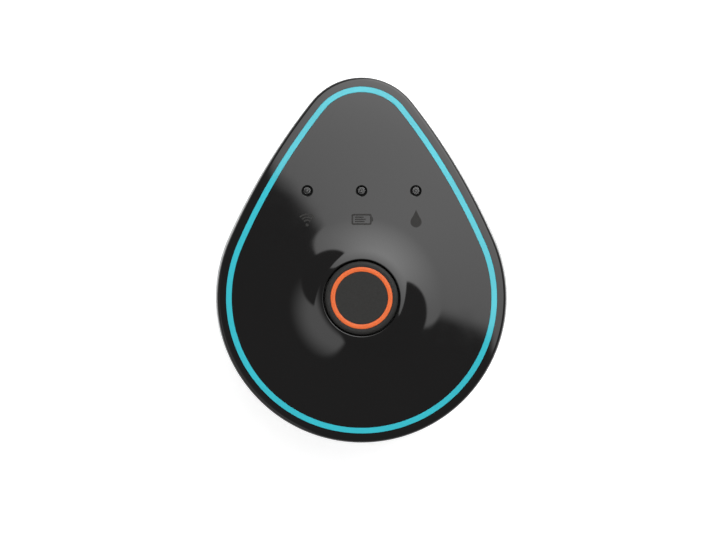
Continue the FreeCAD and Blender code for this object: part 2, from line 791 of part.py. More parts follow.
def make_fixings():
    inserts = []
    for side, x in (("left", "-insert_spacing / 2"), ("right", "insert_spacing / 2")):
        inserts.append(cut("insert_" + side, cylinder("insert_body_" + side, "insert_radius",
                                                      "insert_length", x, "0", "0"),
                           [cylinder("insert_bore_" + side, "insert_bore", "insert_length", x)]))
    keep(group("valve_inserts", inserts))
    keep(make_face_seal("valve_socket_seal", "face_seal_recess"))
    pins = []
    leads = []
    for side, x in (("left", "-pin_pitch / 2"), ("right", "pin_pitch / 2")):
        pin_top = "socket_depth + socket_wall + pin_tail"
        pins.append(cylinder("pin_" + side, "pin_radius", "%s - pin_setback" % pin_top, x,
                             "socket_place", "pin_setback"))
        leads.append(cylinder("lead_" + side, "lead_radius", "board_z - (%s)" % pin_top, x,
                              "socket_place", pin_top))
    keep(group("valve_pins", pins))
    keep(group("valve_leads", leads))
    keep(cylinder("vent_membrane", "membrane_radius", "membrane_thickness", "-vent_across",
                  "vent_height", "back_wall"))


# Circuit board and what stands on it

def make_board():
    board = drop_slab("board_blank", "board_z", "board_top", "board_inset")
    takes = []
    for side, x, y in SCREW_PLACES:
        takes.append(cylinder("board_notch_" + side, "boss_radius + board_relief", "lip_z", x, y))
    for side, x, y in BOARD_SCREWS:
        takes.append(cylinder("board_hole_" + side, "board_screw_radius + screw_gap", "lip_z", x, y))
    keep(cut("circuit_board", board, takes))
    screws = []
    for side, x, y in BOARD_SCREWS:
        screws.append(fuse("board_screw_" + side, [
            cylinder("board_shank_" + side, "board_screw_radius", "board_screw_length", x, y,
                     "board_top - board_screw_length"),
            cylinder("board_head_" + side, "board_screw_head", "board_screw_head_height", x, y,
                     "board_top")]))
    keep(group("board_screws", screws))


def make_components():
    for side, x in INDICATORS:
        keep(block("status_led_" + side, "led_width", "led_length", "led_height", x,
                   "indicator_y", "board_top"))
    keep(block("radio_module", "radio_width", "radio_length", "radio_height", "0", "radio_y",
               "board_top"))
    keep(block("microcontroller", "chip_size", "chip_size", "chip_height", "-(chip_x)",
               "chip_y", "board_top"))
    keep(block("clock_crystal", "crystal_width", "crystal_length", "crystal_height",
               "chip_size / 2 + crystal_width - (chip_x)", "chip_y", "board_top"))
    keep(cylinder("storage_capacitor", "capacitor_radius", "capacitor_height", "chip_x",
                  "chip_y", "board_top"))
    keep(block("power_coil", "coil_size", "coil_size", "coil_height", "coil_across", "coil_y",
               "board_top"))
    passives = []
    for i in range(PASSIVES):
        passives.append(block("passive_%d" % i, "passive_width", "passive_length", "passive_height",
                              "(%d - %d / 2) * passive_pitch - (chip_x)" % (i, PASSIVES - 1),
                              "chip_y + (chip_size + passive_length) / 2 + passive_gap", "board_top"))
    keep(group("board_passives", passives))
    pads = cut("button_contacts", cylinder("pad_disc", "pill_radius", "pad_height", "0", "axis_y",
                                           "board_top"),
               [block("pad_split", "pad_height * 2", "pill_radius * 3", "pad_height * 3", "0",
                      "axis_y", "board_top - pad_height")])
    keep(pads)


# Button

def make_button():
    cap = add("PartDesign::Body", "cap_form")
    sketch = sketch_on(cap, "cap_profile", "XZ_Plane")
    polygon(sketch, [
        ("0", "boot_top + contact_gap"), ("stem_radius", "boot_top + contact_gap"),
        ("stem_radius", "plate_z"), ("button_radius - button_wall", "plate_z"),
        ("button_radius - button_wall", "flange_z"), ("flange_radius", "flange_z"),
        ("flange_radius", "flange_top"), ("button_radius", "flange_top"),
        ("button_radius", "button_z"), ("0", "button_z")])
    turn(cap, sketch)
    top, radius = num("button_z"), num("button_radius")
    dress_edges(cap, "button_edge", lambda e: isinstance(e.Curve, Part.Circle)
                and abs(e.BoundBox.ZMin - top) < NEAR and abs(e.Curve.Radius - radius) < NEAR)
    put(cap, "0", "axis_y")
    low, high = "button_z - ring_depth", "button_z"
    inner, outer = "ring_radius - ring_width / 2", "ring_radius + ring_width / 2"
    ring = turned("button_ring", [(inner, low), (outer, low), (outer, high), (inner, high)],
                  "0", "axis_y")
    keep(cut("button_cap", cap, [ring]))
    keep(ring)
    keep(cylinder("contact_pill", "pill_radius", "pill_height - contact_gap / 2", "0", "axis_y",
                  "pill_z"))


def make_boot():
    """The rubber boot: a rim under the well, a thin cone and a post with the contact below."""
    rim = "well_outer - boot_rim_width"
    keep(turned("button_boot", [
        ("0", "boot_post_z"), ("pill_radius", "boot_post_z"), ("pill_radius", "boot_top - boot_web * 2"),
        ("boot_top_radius - boot_web", "boot_top - boot_web * 2"),
        ("%s - boot_web" % rim, "boot_rim_z - boot_web"), ("%s - boot_web" % rim, "board_top"),
        ("well_outer", "board_top"), ("well_outer", "boot_rim_z"), (rim, "boot_rim_z"),
        ("boot_top_radius", "boot_top"), ("0", "boot_top")], "0", "axis_y"))


# Battery and drawer

def make_battery():
    case = add("PartDesign::Body", "battery_case")
    sketch = sketch_on(case, "battery_section", "XZ_Plane", "-(battery_end)")
    rounded(sketch, "battery_width / 2", "battery_z", "battery_top", "battery_corner")
    pad(case, sketch, "battery_length")
    keep(case)
    middle = "battery_z + battery_thickness / 2"
    terminals = []
    for side, x, radius in (("small", "-terminal_pitch / 2", "terminal_small"),
                            ("large", "terminal_pitch / 2", "terminal_large")):
        stud = add("Part::Cylinder", "terminal_" + side)
        bind(stud, "Radius", radius)
        bind(stud, "Height", "terminal_height")
        stud.Placement.Rotation = FreeCAD.Rotation(Vector(1, 0, 0), -90)
        terminals.append(put(stud, x, "battery_end", middle))
    keep(group("battery_terminals", terminals))


def make_drawer(form):
    panel_bar = prism_y("panel_bar", "recess_half - panel_gap", "recess_floor + panel_gap",
                        "recess_roof - panel_gap", "chamber_corner + panel_rim - panel_gap",
                        "seat_y - panel_gap", "-drop_length")
    panel = common("panel_blank", [form, panel_bar])
    grip = add("Part::Cylinder", "grip_tool")
    bind(grip, "Radius", "grip_radius")
    bind(grip, "Height", "grip_width")
    grip.Placement.Rotation = FreeCAD.Rotation(Vector(0, 1, 0), 90)
    put(grip, "-grip_width / 2", "grip_depth - grip_radius - drop_length / 2",
        "(recess_floor + recess_roof) / 2")
    plug = prism_y("drawer_plug", "tray_half", "tray_z", "plug_z", "chamber_corner - slide_gap",
                   "battery_y", "seat_y - panel_gap")
    groove_far = "(seat_y + battery_y - seal_width) / 2"
    groove_near = "(seat_y + battery_y + seal_width) / 2"
    around = prism_y("groove_around", "chamber_half + panel_rim", "recess_floor", "recess_roof",
                     "chamber_corner", groove_near, groove_far)
    core = prism_y("groove_core", "tray_half - seal_depth", "tray_z + seal_depth",
                   "plug_z - seal_depth", "chamber_corner - slide_gap - seal_depth", groove_near,
                   groove_far)
    tray = span("tray_box", ("-(tray_half)", "tray_half"), ("battery_y", "tray_end"),
                ("tray_z", "battery_z + tray_side"))
    room = span("tray_room", ("tray_wall - (tray_half)", "tray_half - tray_wall"),
                ("battery_y", "tray_end - tray_wall"), ("battery_z", "battery_top"))
    gate_half = "tray_half - tray_wall - tray_stop"
    gate = span("tray_gate", ("-(%s)" % gate_half, gate_half), ("battery_end", "rail_end"),
                ("battery_z", "battery_top"))
    rails = []
    for side, low, high in (("left", "-(tray_half)", "tray_wall - (tray_half)"),
                            ("right", "tray_half - tray_wall", "tray_half")):
        rails.append(span("rail_" + side, (low, high), ("tray_end - tray_wall", "rail_end"),
                          ("tray_z", "tray_z + rail_height")))
    bar = prism_y("drawer_bar", "tray_half", "tray_z", "plug_z", "chamber_corner - slide_gap",
                  "rail_end", "battery_y")
    carriage = common("drawer_carriage", [fuse("tray_and_rails", [tray] + rails), bar])
    solid = fuse("drawer_solid", [panel, plug, carriage])
    groove = cut("seal_groove_tool", around, [core])
    keep(cut("battery_drawer", solid, [room, gate, grip, groove]))
    reach = "slide_gap - seal_gap"
    ring = prism_y("seal_around", "tray_half + %s" % reach, "tray_z - (%s)" % reach,
                   "plug_z + %s" % reach, "chamber_corner - seal_gap", groove_near, groove_far)
    keep(cut("drawer_seal", ring, [core]))


def make_contacts():
    """Carrier that closes the chamber's end and the two bent strips held in it."""
    strips = []
    middle = "(strip_low + strip_high) / 2"
    for side, x in (("left", "-terminal_pitch / 2"), ("right", "terminal_pitch / 2")):
        body = add("PartDesign::Body", "strip_" + side)
        sketch = sketch_on(body, "strip_bend_" + side, "YZ_Plane", "%s - strip_width / 2" % x)
        polygon(sketch, [
            ("strip_y", "strip_low"), ("strip_y + strip_thickness", "strip_low"),
            ("strip_y + strip_thickness", "strip_high - strip_thickness"),
            ("strip_back + strip_thickness", "strip_high - strip_thickness"),
            ("strip_back + strip_thickness", "board_z"), ("strip_back", "board_z"),
            ("strip_back", "strip_high"), ("strip_y", "strip_high")])
        pad(body, sketch, "strip_width")
        strips.append(body)
    plate = prism_y("carrier_plate_body", "chamber_half - fit_gap", "chamber_floor + fit_gap",
                    "chamber_roof - fit_gap", "chamber_corner - fit_gap", "chamber_end", "plate_y")
    stem = block("carrier_block", "carrier_block_width", "plate_y - (block_y)", "carrier_block_height",
                 "0", "(plate_y + (block_y)) / 2", "%s - carrier_block_height / 2" % middle)
    keep(cut("contact_carrier", fuse("carrier_body", [plate, stem]), strips))
    keep(group("battery_contacts", strips))


doc = FreeCAD.newDocument("valve_control_unit")
sheet = doc.addObject("Spreadsheet::Sheet", "Sizes")
for row, (alias, value) in enumerate(SIZES.items(), 1):
    sheet.set("A%d" % row, alias)
    sheet.set("B%d" % row, str(value))
    sheet.setAlias("B%d" % row, alias)
doc.recompute()

line_ring = make_outline_ring()
make_front_cover(line_ring)
make_windows()
make_gasket()
housing_form = make_housing_form()
make_rear_housing(housing_form)
make_screws()
make_fixings()
make_board()
make_components()
make_boot()
make_contacts()
make_button()
make_battery()
make_drawer(housing_form)
doc.recompute()

for thing in doc.Objects:
    if "Invalid" in thing.State or "Error" in thing.State:
        raise RuntimeError("%s did not build: %s" % (thing.Label, thing.State))
for node in NODES:
    if node.Shape.isNull() or not node.Shape.isValid():
        raise RuntimeError("%s has no valid shape" % node.Label)
os.makedirs("parts", exist_ok=True)
for node in NODES:
    node.Shape.exportStep("parts/" + node.Label + ".step")
    print(node.Label, len(node.Shape.Solids), "solids", round(node.Shape.Volume, 1), "mm3")
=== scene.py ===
# %% [markdown]
# # An irrigation valve's control unit, dressed for its portrait
# The object is a drop-shaped box that opens and shuts a water valve. Its black face is one glossy
# moulding with a raised collar round a push button, and a coloured line runs just inside its rim.
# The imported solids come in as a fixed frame. This script adds the finer shapes, the finishes, the
# light and the camera, and never moves what the solids already settle.

import json
import math

import bmesh
import bpy
from mathutils import Matrix, Vector


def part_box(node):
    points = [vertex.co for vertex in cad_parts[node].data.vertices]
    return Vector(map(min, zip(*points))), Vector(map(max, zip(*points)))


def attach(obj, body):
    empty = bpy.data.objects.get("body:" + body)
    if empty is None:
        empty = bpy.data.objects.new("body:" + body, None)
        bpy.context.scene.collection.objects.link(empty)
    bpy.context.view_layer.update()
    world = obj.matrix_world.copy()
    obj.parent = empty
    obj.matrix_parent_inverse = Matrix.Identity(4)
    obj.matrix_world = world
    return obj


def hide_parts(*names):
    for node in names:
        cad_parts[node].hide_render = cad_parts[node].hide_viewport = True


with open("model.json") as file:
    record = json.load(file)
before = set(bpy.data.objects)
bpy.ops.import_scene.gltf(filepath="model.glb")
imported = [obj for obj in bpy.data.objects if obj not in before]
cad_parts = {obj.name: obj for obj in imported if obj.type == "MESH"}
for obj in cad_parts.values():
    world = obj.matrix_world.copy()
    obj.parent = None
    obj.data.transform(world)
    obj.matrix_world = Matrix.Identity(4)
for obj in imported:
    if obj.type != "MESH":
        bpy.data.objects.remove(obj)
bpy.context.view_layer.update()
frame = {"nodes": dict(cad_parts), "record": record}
MM = 0.001

# %% [markdown]
# What the frame can tell is measured from it: the button's axis, the button's size and the height at
# which the face begins. A change in the solids then carries over. All other sizes are plain numbers
# in metres, named where they are first needed.

# %% Where the solids put the face and the button
FACE_LOW, FACE_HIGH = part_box("front_cover")
RING_LOW, RING_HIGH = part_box("button_ring")
CAP_LOW, CAP_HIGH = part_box("button_cap")
AXIS_Y = (RING_LOW.y + RING_HIGH.y) / 2
SKIRT_Z = FACE_LOW.z
CROWN_Z = SKIRT_Z + 11.0 * MM
LIP_Z = CROWN_Z + 1.4 * MM
print("button axis at y", round(AXIS_Y / MM, 2), "lip at", round(LIP_Z / MM, 2), "mm")

# %% [markdown]
# From the front the face is a drop: two end circles joined by two long flank arcs. A drop made of
# arcs has one handy property: moving every point along the outline's own normal gives the same
# drop, only smaller. So one function that returns a point and its normal, seen from the button's
# axis, is enough for the rim, the coloured line and the walls.

# %% The drop outline seen from the button
AROUND = 480
BOTTOM_RADIUS = AXIS_Y - FACE_LOW.y
TIP_RADIUS = 17.4 * MM
FLANK_RADIUS = 174 * MM
TIP_RISE = FACE_HIGH.y - TIP_RADIUS - AXIS_Y
FLANK_FALL = ((FLANK_RADIUS - TIP_RADIUS) ** 2 - (FLANK_RADIUS - BOTTOM_RADIUS) ** 2
              - TIP_RISE ** 2) / (2 * TIP_RISE)
FLANK_SIDE = math.sqrt((FLANK_RADIUS - BOTTOM_RADIUS) ** 2 - FLANK_FALL ** 2)
LOW_TURN = math.atan2(FLANK_FALL, FLANK_SIDE)
HIGH_TURN = math.atan2(FLANK_FALL + TIP_RISE, FLANK_SIDE)
TIP_JOIN = math.atan2(TIP_RISE + TIP_RADIUS * math.sin(HIGH_TURN),
                      TIP_RADIUS * math.cos(HIGH_TURN))


def outline(angle, inset=0.0):
    """Point and normal of the drop, moved inwards, where a ray from the button's axis meets it."""
    away = Vector((abs(math.cos(angle)), math.sin(angle)))
    turn = math.asin(away.y)
    centre, radius = Vector((0, 0)), BOTTOM_RADIUS
    if turn > TIP_JOIN:
        centre, radius = Vector((0, TIP_RISE)), TIP_RADIUS
    elif turn > LOW_TURN:
        centre, radius = Vector((-FLANK_SIDE, -FLANK_FALL)), FLANK_RADIUS
    along = away.dot(centre)
    point = away * (along + math.sqrt(along ** 2 - centre.length_squared + radius ** 2))
    normal = (point - centre).normalized()
    point -= normal * inset
    side = 1 if math.cos(angle) >= 0 else -1
    return Vector((side * point.x, point.y)), Vector((side * normal.x, normal.y))


widest = 2 * max(outline(i * math.tau / AROUND)[0].x for i in range(AROUND))
print("drop", round(widest / MM, 2), "mm wide")

# %% [markdown]
# Between the collar and the rim the face is a shallow dome. It mirrors the soft boxes, so its slope
# matters more than its height: a shallow cone by the collar that bends down towards the tip gives
# the border of light its run across the face. The slope is a formula and the height is its
# integral, so the two always agree.

# %% Slope and height of the dome
COLLAR_FOOT = 22.0 * MM
FOOT_Z = CROWN_Z - 0.58 * MM
FOOT_SLOPE = 0.055
BEND_SLOPE = 0.145 - FOOT_SLOPE
BEND_REACH = 60 * MM
BEND_POWER = 6


def dome_slope(radius):
    """Fall of the dome for each metre outwards, at a distance from the button's axis."""
    return FOOT_SLOPE + BEND_SLOPE * (radius / BEND_REACH) ** BEND_POWER


def dome(point):
    """Height of the dome over a point measured from the button's axis."""
    power = BEND_POWER + 1
    span = (point.length / BEND_REACH) ** power - (COLLAR_FOOT / BEND_REACH) ** power
    bend = BEND_SLOPE * BEND_REACH / power * span
    return FOOT_Z - FOOT_SLOPE * (point.length - COLLAR_FOOT) - bend


def dome_lean(point, toward):
    """Angle at which the dome falls away at a point, going in the given direction."""
    return math.atan(dome_slope(point.length) * point.normalized().dot(toward))


print("dome falls", round((FOOT_Z - dome(outline(math.pi / 2)[0])) / MM, 2), "mm to the tip")

# %% [markdown]
# The collar is a moulded swelling: a lip by the button that slopes a little outward, a round
# shoulder, and a hollow sweep that runs out into the dome with no crease. Two arcs that touch each
# other and their neighbours give that, and the second one's radius follows from the first.

# %% The arcs of the collar
FLANGE_RADIUS = (CAP_HIGH.x - CAP_LOW.x) / 2
CAP_RADIUS = FLANGE_RADIUS - 1.2 * MM
HOLE_RADIUS = CAP_RADIUS + 0.4 * MM
HOLE_EDGE = 0.3 * MM
LIP_RADIUS = 9.6 * MM
LIP_SHOULDER = 13.0 * MM
FOOT_LEAN = math.atan(dome_slope(COLLAR_FOOT))


def sweep_circle():
    """Centre and radius of the hollow arc that touches both the shoulder and the dome."""
    across = COLLAR_FOOT - LIP_RADIUS
    up = FOOT_Z - LIP_Z + LIP_SHOULDER
    away = across * math.sin(FOOT_LEAN) + up * math.cos(FOOT_LEAN)
    radius = (across ** 2 + up ** 2 - LIP_SHOULDER ** 2) / (2 * (LIP_SHOULDER - away))
    return COLLAR_FOOT + radius * math.sin(FOOT_LEAN), FOOT_Z + radius * math.cos(FOOT_LEAN), radius


SWEEP_X, SWEEP_Z, SWEEP_RADIUS = sweep_circle()


def face_height(point):
    """Height of the face over a point on the dome or on the hollow sweep of the collar."""
    if point.length >= COLLAR_FOOT:
        return dome(point)
    return SWEEP_Z - math.sqrt(SWEEP_RADIUS ** 2 - (SWEEP_X - point.length) ** 2)


print("collar sweep radius", round(SWEEP_RADIUS / MM, 2), "mm")

# %% [markdown]
# Strung together, the arcs are the collar's half profile. It starts with a small third arc that
# breaks the edge of the button's hole, because a moulding has no knife edges.

# %% The collar's half profile
def arc_points(cx, cz, radius, start, end, steps):
    """Points on an arc, given in degrees, for a half profile."""
    turns = [math.radians(start + (end - start) * i / steps) for i in range(steps + 1)]
    return [(cx + radius * math.cos(turn), cz + radius * math.sin(turn)) for turn in turns]


def collar_profile():
    """Radius and height pairs from the button's hole to the foot of the sweep."""
    shoulder_z = LIP_Z - LIP_SHOULDER
    meet = math.degrees(math.atan2(SWEEP_Z - shoulder_z, SWEEP_X - LIP_RADIUS))
    edge_x = HOLE_RADIUS + HOLE_EDGE
    edge_z = shoulder_z + math.sqrt((LIP_SHOULDER - HOLE_EDGE) ** 2 - (edge_x - LIP_RADIUS) ** 2)
    touch = math.degrees(math.atan2(edge_z - shoulder_z, edge_x - LIP_RADIUS))
    points = arc_points(edge_x, edge_z, HOLE_EDGE, 180, touch, 8)
    points += arc_points(LIP_RADIUS, shoulder_z, LIP_SHOULDER, touch, meet, 12)[1:]
    end = 270 - math.degrees(FOOT_LEAN)
    points += arc_points(SWEEP_X, SWEEP_Z, SWEEP_RADIUS, meet + 180, end, 20)[1:]
    print("collar is steepest at", round(90 - meet, 1), "degrees")
    return points


COLLAR = collar_profile()

# %% [markdown]
# The face is built as the mould would see it: one ring of edges starts inside the button's well and
# is extruded over the lip, down the collar, across the dome, round the rim and back underneath.
# Each new ring is put in place by its formula, so the highlights run over it without a facet.

# %% Rings that grow into a shell
def start_ring(bm, place):
    """First ring of a shell, from a circle whose points are then put in place."""
    made = bmesh.ops.create_circle(bm, segments=AROUND, radius=HOLE_RADIUS)
    for vert in made["verts"]:
        vert.co = place(math.atan2(vert.co.y, vert.co.x))
    return list(bm.edges)


def grow_ring(bm, edges, place):
    """Extrudes a ring of edges once and puts the new points in place."""
    made = bmesh.ops.extrude_edge_only(bm, edges=edges)["geom"]
    verts = {item for item in made if isinstance(item, bmesh.types.BMVert)}
    for vert in verts:
        vert.co = place(math.atan2(vert.co.y - AXIS_Y, vert.co.x))
    return [item for item in made if isinstance(item, bmesh.types.BMEdge)
            and item.verts[0] in verts and item.verts[1] in verts]


def make_shell(places):
    """A closed ring-shaped shell through all the places, in order."""
    bm = bmesh.new()
    first = start_ring(bm, places[0])
    edges = first
    for place in places[1:]:
        edges = grow_ring(bm, edges, place)
    bmesh.ops.bridge_loops(bm, edges=first + edges)
    return bm


print("a ring has", AROUND, "points")

# %% [markdown]
# A place is a function that takes an angle about the button and returns a point. Four of them are
# enough for the face: on a circle, on the drop at some inset, part of the way over the dome, and on
# the quarter round of the rim.

# %% Places on the face
LINE_INSET = 2.5 * MM
LINE_WIDTH = 1.6 * MM
RIM_ROUND = 0.9 * MM


def on_circle(radius, height):
    """Placement on a circle about the button's axis."""
    def place(angle):
        return Vector((radius * math.cos(angle), AXIS_Y + radius * math.sin(angle), height))
    return place


def on_drop(inset, height):
    """Placement on the drop outline at an inset; height is a number or a function of the point."""
    def place(angle):
        point, _ = outline(angle, inset)
        z = height(point) if callable(height) else height
        return Vector((point.x, AXIS_Y + point.y, z))
    return place


def under_dome(inset, depth):
    """Placement on the drop outline at an inset and a depth below the dome."""
    return on_drop(inset, lambda point: dome(point) - depth)


def on_dome(share):
    """Placement on the dome, part of the way from the collar's foot to the coloured line."""
    def place(angle):
        inner = Vector((math.cos(angle), math.sin(angle))) * COLLAR_FOOT
        point = inner.lerp(outline(angle, LINE_INSET + LINE_WIDTH)[0], share)
        return Vector((point.x, AXIS_Y + point.y, dome(point)))
    return place


def on_rim(turn):
    """Placement on the rounded rim: a turn of 0 is the side wall, and 1 the top, on the dome."""
    def place(angle):
        edge, normal = outline(angle, RIM_ROUND)
        slope = dome_lean(edge, normal)
        swing = turn * (math.pi / 2 - slope)
        start = edge + normal * RIM_ROUND * math.sin(slope)
        centre_z = dome(start) - RIM_ROUND * math.cos(slope)
        point = edge + normal * RIM_ROUND * math.cos(swing)
        return Vector((point.x, AXIS_Y + point.y, centre_z + RIM_ROUND * math.sin(swing)))
    return place


print("rim top at the tip", round(on_rim(1)(math.pi / 2).z / MM, 2), "mm")

# %% [markdown]
# Every finished mesh goes through one helper. It recalculates the normals, shades smooth with true
# edges kept sharp, hangs the piece on the body that carries it, hides the solids that it stands for
# and notes which finish it takes.

# %% Finish a piece
PIECES = []
CREASE = 30


def make_object(bm, name):
    """Turns a bmesh into an object of the scene."""
    mesh = bpy.data.meshes.new(name)
    bm.to_mesh(mesh)
    bm.free()
    made = bpy.data.objects.new(name, mesh)
    bpy.context.scene.collection.objects.link(made)
    return made


def shade(mesh, crease=CREASE):
    """Smooth shading, with edges sharper than the crease, in degrees, kept."""
    mesh.shade_smooth()
    mesh.set_sharp_from_angle(angle=math.radians(crease))


def finish_piece(bm, name, body, slot, replaces=(), crease=CREASE):
    """Turns a bmesh into a piece of the object that rides on a body."""
    bmesh.ops.recalc_face_normals(bm, faces=bm.faces)
    piece = make_object(bm, name)
    shade(piece.data, crease)
    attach(piece, body)
    if replaces:
        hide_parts(*replaces)
    PIECES.append((piece, slot))
    print(name, len(piece.data.polygons), "faces")
    return piece


# %% [markdown]
# The black face itself is a list of places in the order of the section: collar, dome, the groove
# for the coloured line, rim, side wall, and the hollow underneath. A shell with an even wall is
# closed and thick like the real moulding, where a single skin would look like paper at the seam.

# %% The black face
WALL = 2.4 * MM
STRIP_SEAT = 0.35 * MM
SKIRT_ROUND = 0.3 * MM
LEDGE_UP = 3.0 * MM
DOME_RINGS = 26
RIM_STEPS = 12
SKIRT_STEPS = 3


def skirt_place(step):
    """Placement on the small round between the side wall and the seam."""
    turn = math.pi / 2 * step / SKIRT_STEPS
    return on_drop(SKIRT_ROUND * (1 - math.cos(turn)), SKIRT_Z + SKIRT_ROUND * (1 - math.sin(turn)))


def make_face():
    places = [on_circle(radius, height) for radius, height in COLLAR]
    places += [on_dome(i / DOME_RINGS) for i in range(1, DOME_RINGS + 1)]
    places += [under_dome(LINE_INSET + LINE_WIDTH, STRIP_SEAT), under_dome(LINE_INSET, STRIP_SEAT)]
    places.append(on_drop(LINE_INSET, dome))
    places += [on_rim(1 - i / RIM_STEPS) for i in range(RIM_STEPS + 1)]
    places += [skirt_place(i) for i in range(SKIRT_STEPS + 1)]
    places += [on_drop(WALL, SKIRT_Z), under_dome(WALL, WALL)]
    places.append(on_circle(COLLAR_FOOT, CROWN_Z - WALL - 0.4 * MM))
    places.append(on_circle(HOLE_RADIUS, LIP_Z - LEDGE_UP))
    return make_shell(places)


face = finish_piece(make_face(), "glossy_face", "housing", "face_black", ["front_cover"])

# %% [markdown]
# Three small holes let the status lights out. They sit where the solids have their light pipes. A
# round shape is made by spinning a profile about an upright axis, which serves the holes, the
# lenses and the button alike.

# %% Places of the lights, and turned shapes
LENSES = {side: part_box("led_window_" + side) for side in ("left", "centre", "right")}
LENS_STEPS = 48


def lens_place(side):
    """Where a status light sits on the face, with the dome's height there."""
    low, high = LENSES[side]
    x, y = (low.x + high.x) / 2, (low.y + high.y) / 2
    return Vector((x, y, dome(Vector((x, y - AXIS_Y)))))


def spin_profile(bm, profile, segments, centre):
    """Turns a profile of radius and height pairs about an upright axis through centre."""
    verts = [bm.verts.new((centre.x + radius, centre.y, centre.z + height)) for radius, height in profile]
    edges = [bm.edges.new(pair) for pair in zip(verts, verts[1:])]
    bmesh.ops.spin(bm, geom=verts + edges, cent=centre, axis=(0, 0, 1), angle=math.tau,
                   steps=segments, use_merge=True)
    bmesh.ops.remove_doubles(bm, verts=bm.verts, dist=1e-7)


for side in LENSES:
    print(side, "light at", [round(value / MM, 2) for value in lens_place(side)])

# %% [markdown]
# Each hole is a straight bore with a bevelled mouth. Cutting it with a turned cutter is simpler than
# building it into the rings of the face, which are not centred on it. The cut is a Boolean modifier
# that is applied at once, so the face stays one plain mesh.

# %% Bores for the status lights
LENS_RADIUS = 1.05 * MM
BEZEL_RADIUS = 1.6 * MM
BEZEL_DEPTH = 0.4 * MM
BORE_DEPTH = 3 * MM


def bore_cutter():
    """The three bores as solids, their cones carried on above the face."""
    bm = bmesh.new()
    wide = 2 * BEZEL_RADIUS - LENS_RADIUS
    profile = [(0, -BORE_DEPTH), (LENS_RADIUS, -BORE_DEPTH), (LENS_RADIUS, -BEZEL_DEPTH),
               (BEZEL_RADIUS, 0), (wide, BEZEL_DEPTH), (0, BEZEL_DEPTH)]
    for side in LENSES:
        spin_profile(bm, profile, LENS_STEPS, lens_place(side))
    bmesh.ops.recalc_face_normals(bm, faces=bm.faces)
    return make_object(bm, "bore_cutter")


def cut_bores(piece):
    cutter = bore_cutter()
    bore = piece.modifiers.new("bores", "BOOLEAN")
    bore.operation = "DIFFERENCE"
    bore.solver = "EXACT"
    bore.object = cutter
    bpy.context.view_layer.update()
    shape = bpy.data.meshes.new_from_object(piece.evaluated_get(bpy.context.evaluated_depsgraph_get()))
    piece.modifiers.clear()
    piece.data = shape
    shade(shape)
    bpy.data.objects.remove(cutter)
    print("face with bores", len(shape.polygons), "faces")


cut_bores(face)

# %% [markdown]
# The coloured line is a strip of its own, let into the face and polished flush with it. It is the
# same kind of shell as the face: a loop of rings between two insets of the drop, with its long
# edges just broken and a hair of clearance in the groove.

# %% The coloured line
STRIP_CLEAR = 0.02 * MM
STRIP_EDGE = 0.06 * MM
STRIP_STEPS = 4


def make_line():
    inner, outer = LINE_INSET + LINE_WIDTH - STRIP_CLEAR, LINE_INSET + STRIP_CLEAR
    floor_depth = STRIP_SEAT - STRIP_CLEAR
    flat_in, flat_out = inner - STRIP_EDGE, outer + STRIP_EDGE
    section = [(inner, floor_depth), (inner, STRIP_EDGE)]
    section += [(flat_in + (flat_out - flat_in) * i / STRIP_STEPS, 0) for i in range(STRIP_STEPS + 1)]
    section += [(outer, STRIP_EDGE), (outer, floor_depth)]
    return make_shell([under_dome(inset, depth) for inset, depth in section])


finish_piece(make_line(), "coloured_line", "housing", "line_cyan", ["outline_ring"])

# %% [markdown]
# The button's cap is a turned part: a matte plate with a soft edge, a wall and a flange that keeps
# it in the well, and a stem that presses the contact. A profile is spun once round the axis, with a
# shallow groove in the top for the bright ring.

# %% The button's cap
CAP_EDGE = 0.8 * MM
RING_IN, RING_OUT = 7.2 * MM, 8.5 * MM
RING_GROOVE = 0.3 * MM
GROOVE_EDGE = 0.06 * MM
STEM_RADIUS = 2.5 * MM
BUTTON_STEPS = 128


def make_cap():
    bm = bmesh.new()
    top = CAP_HIGH.z
    inside = CAP_RADIUS - 1.8 * MM
    plate_low, flange_high, flange_low = top - 2.2 * MM, top - 3.6 * MM, top - 4.8 * MM
    profile = [(0, top), (STEM_RADIUS + 1 * MM, top), (RING_IN - GROOVE_EDGE - 0.1 * MM, top)]
    profile += arc_points(RING_IN - GROOVE_EDGE, top - GROOVE_EDGE, GROOVE_EDGE, 90, 0, 3)
    profile += [(RING_IN, top - RING_GROOVE), (RING_OUT, top - RING_GROOVE)]
    profile += arc_points(RING_OUT + GROOVE_EDGE, top - GROOVE_EDGE, GROOVE_EDGE, 180, 90, 3)
    profile += arc_points(CAP_RADIUS - CAP_EDGE, top - CAP_EDGE, CAP_EDGE, 90, 0, 10)
    profile += [(CAP_RADIUS, flange_high), (FLANGE_RADIUS, flange_high), (FLANGE_RADIUS, flange_low),
                (inside, flange_low), (inside, plate_low), (STEM_RADIUS, plate_low),
                (STEM_RADIUS, CAP_LOW.z), (0, CAP_LOW.z)]
    spin_profile(bm, profile, BUTTON_STEPS, Vector((0, AXIS_Y, 0)))
    return bm


finish_piece(make_cap(), "button_top", "control_button", "button_grey", ["button_cap"])

# %% [markdown]
# The ring is a thin band with rounded edges that lies in the cap's groove with a hair of clearance.
# It is a piece of its own because it is moulded in another colour.

# %% The bright ring
RING_CLEAR = 0.02 * MM
RING_SINK = 0.01 * MM
RING_EDGE = 0.1 * MM


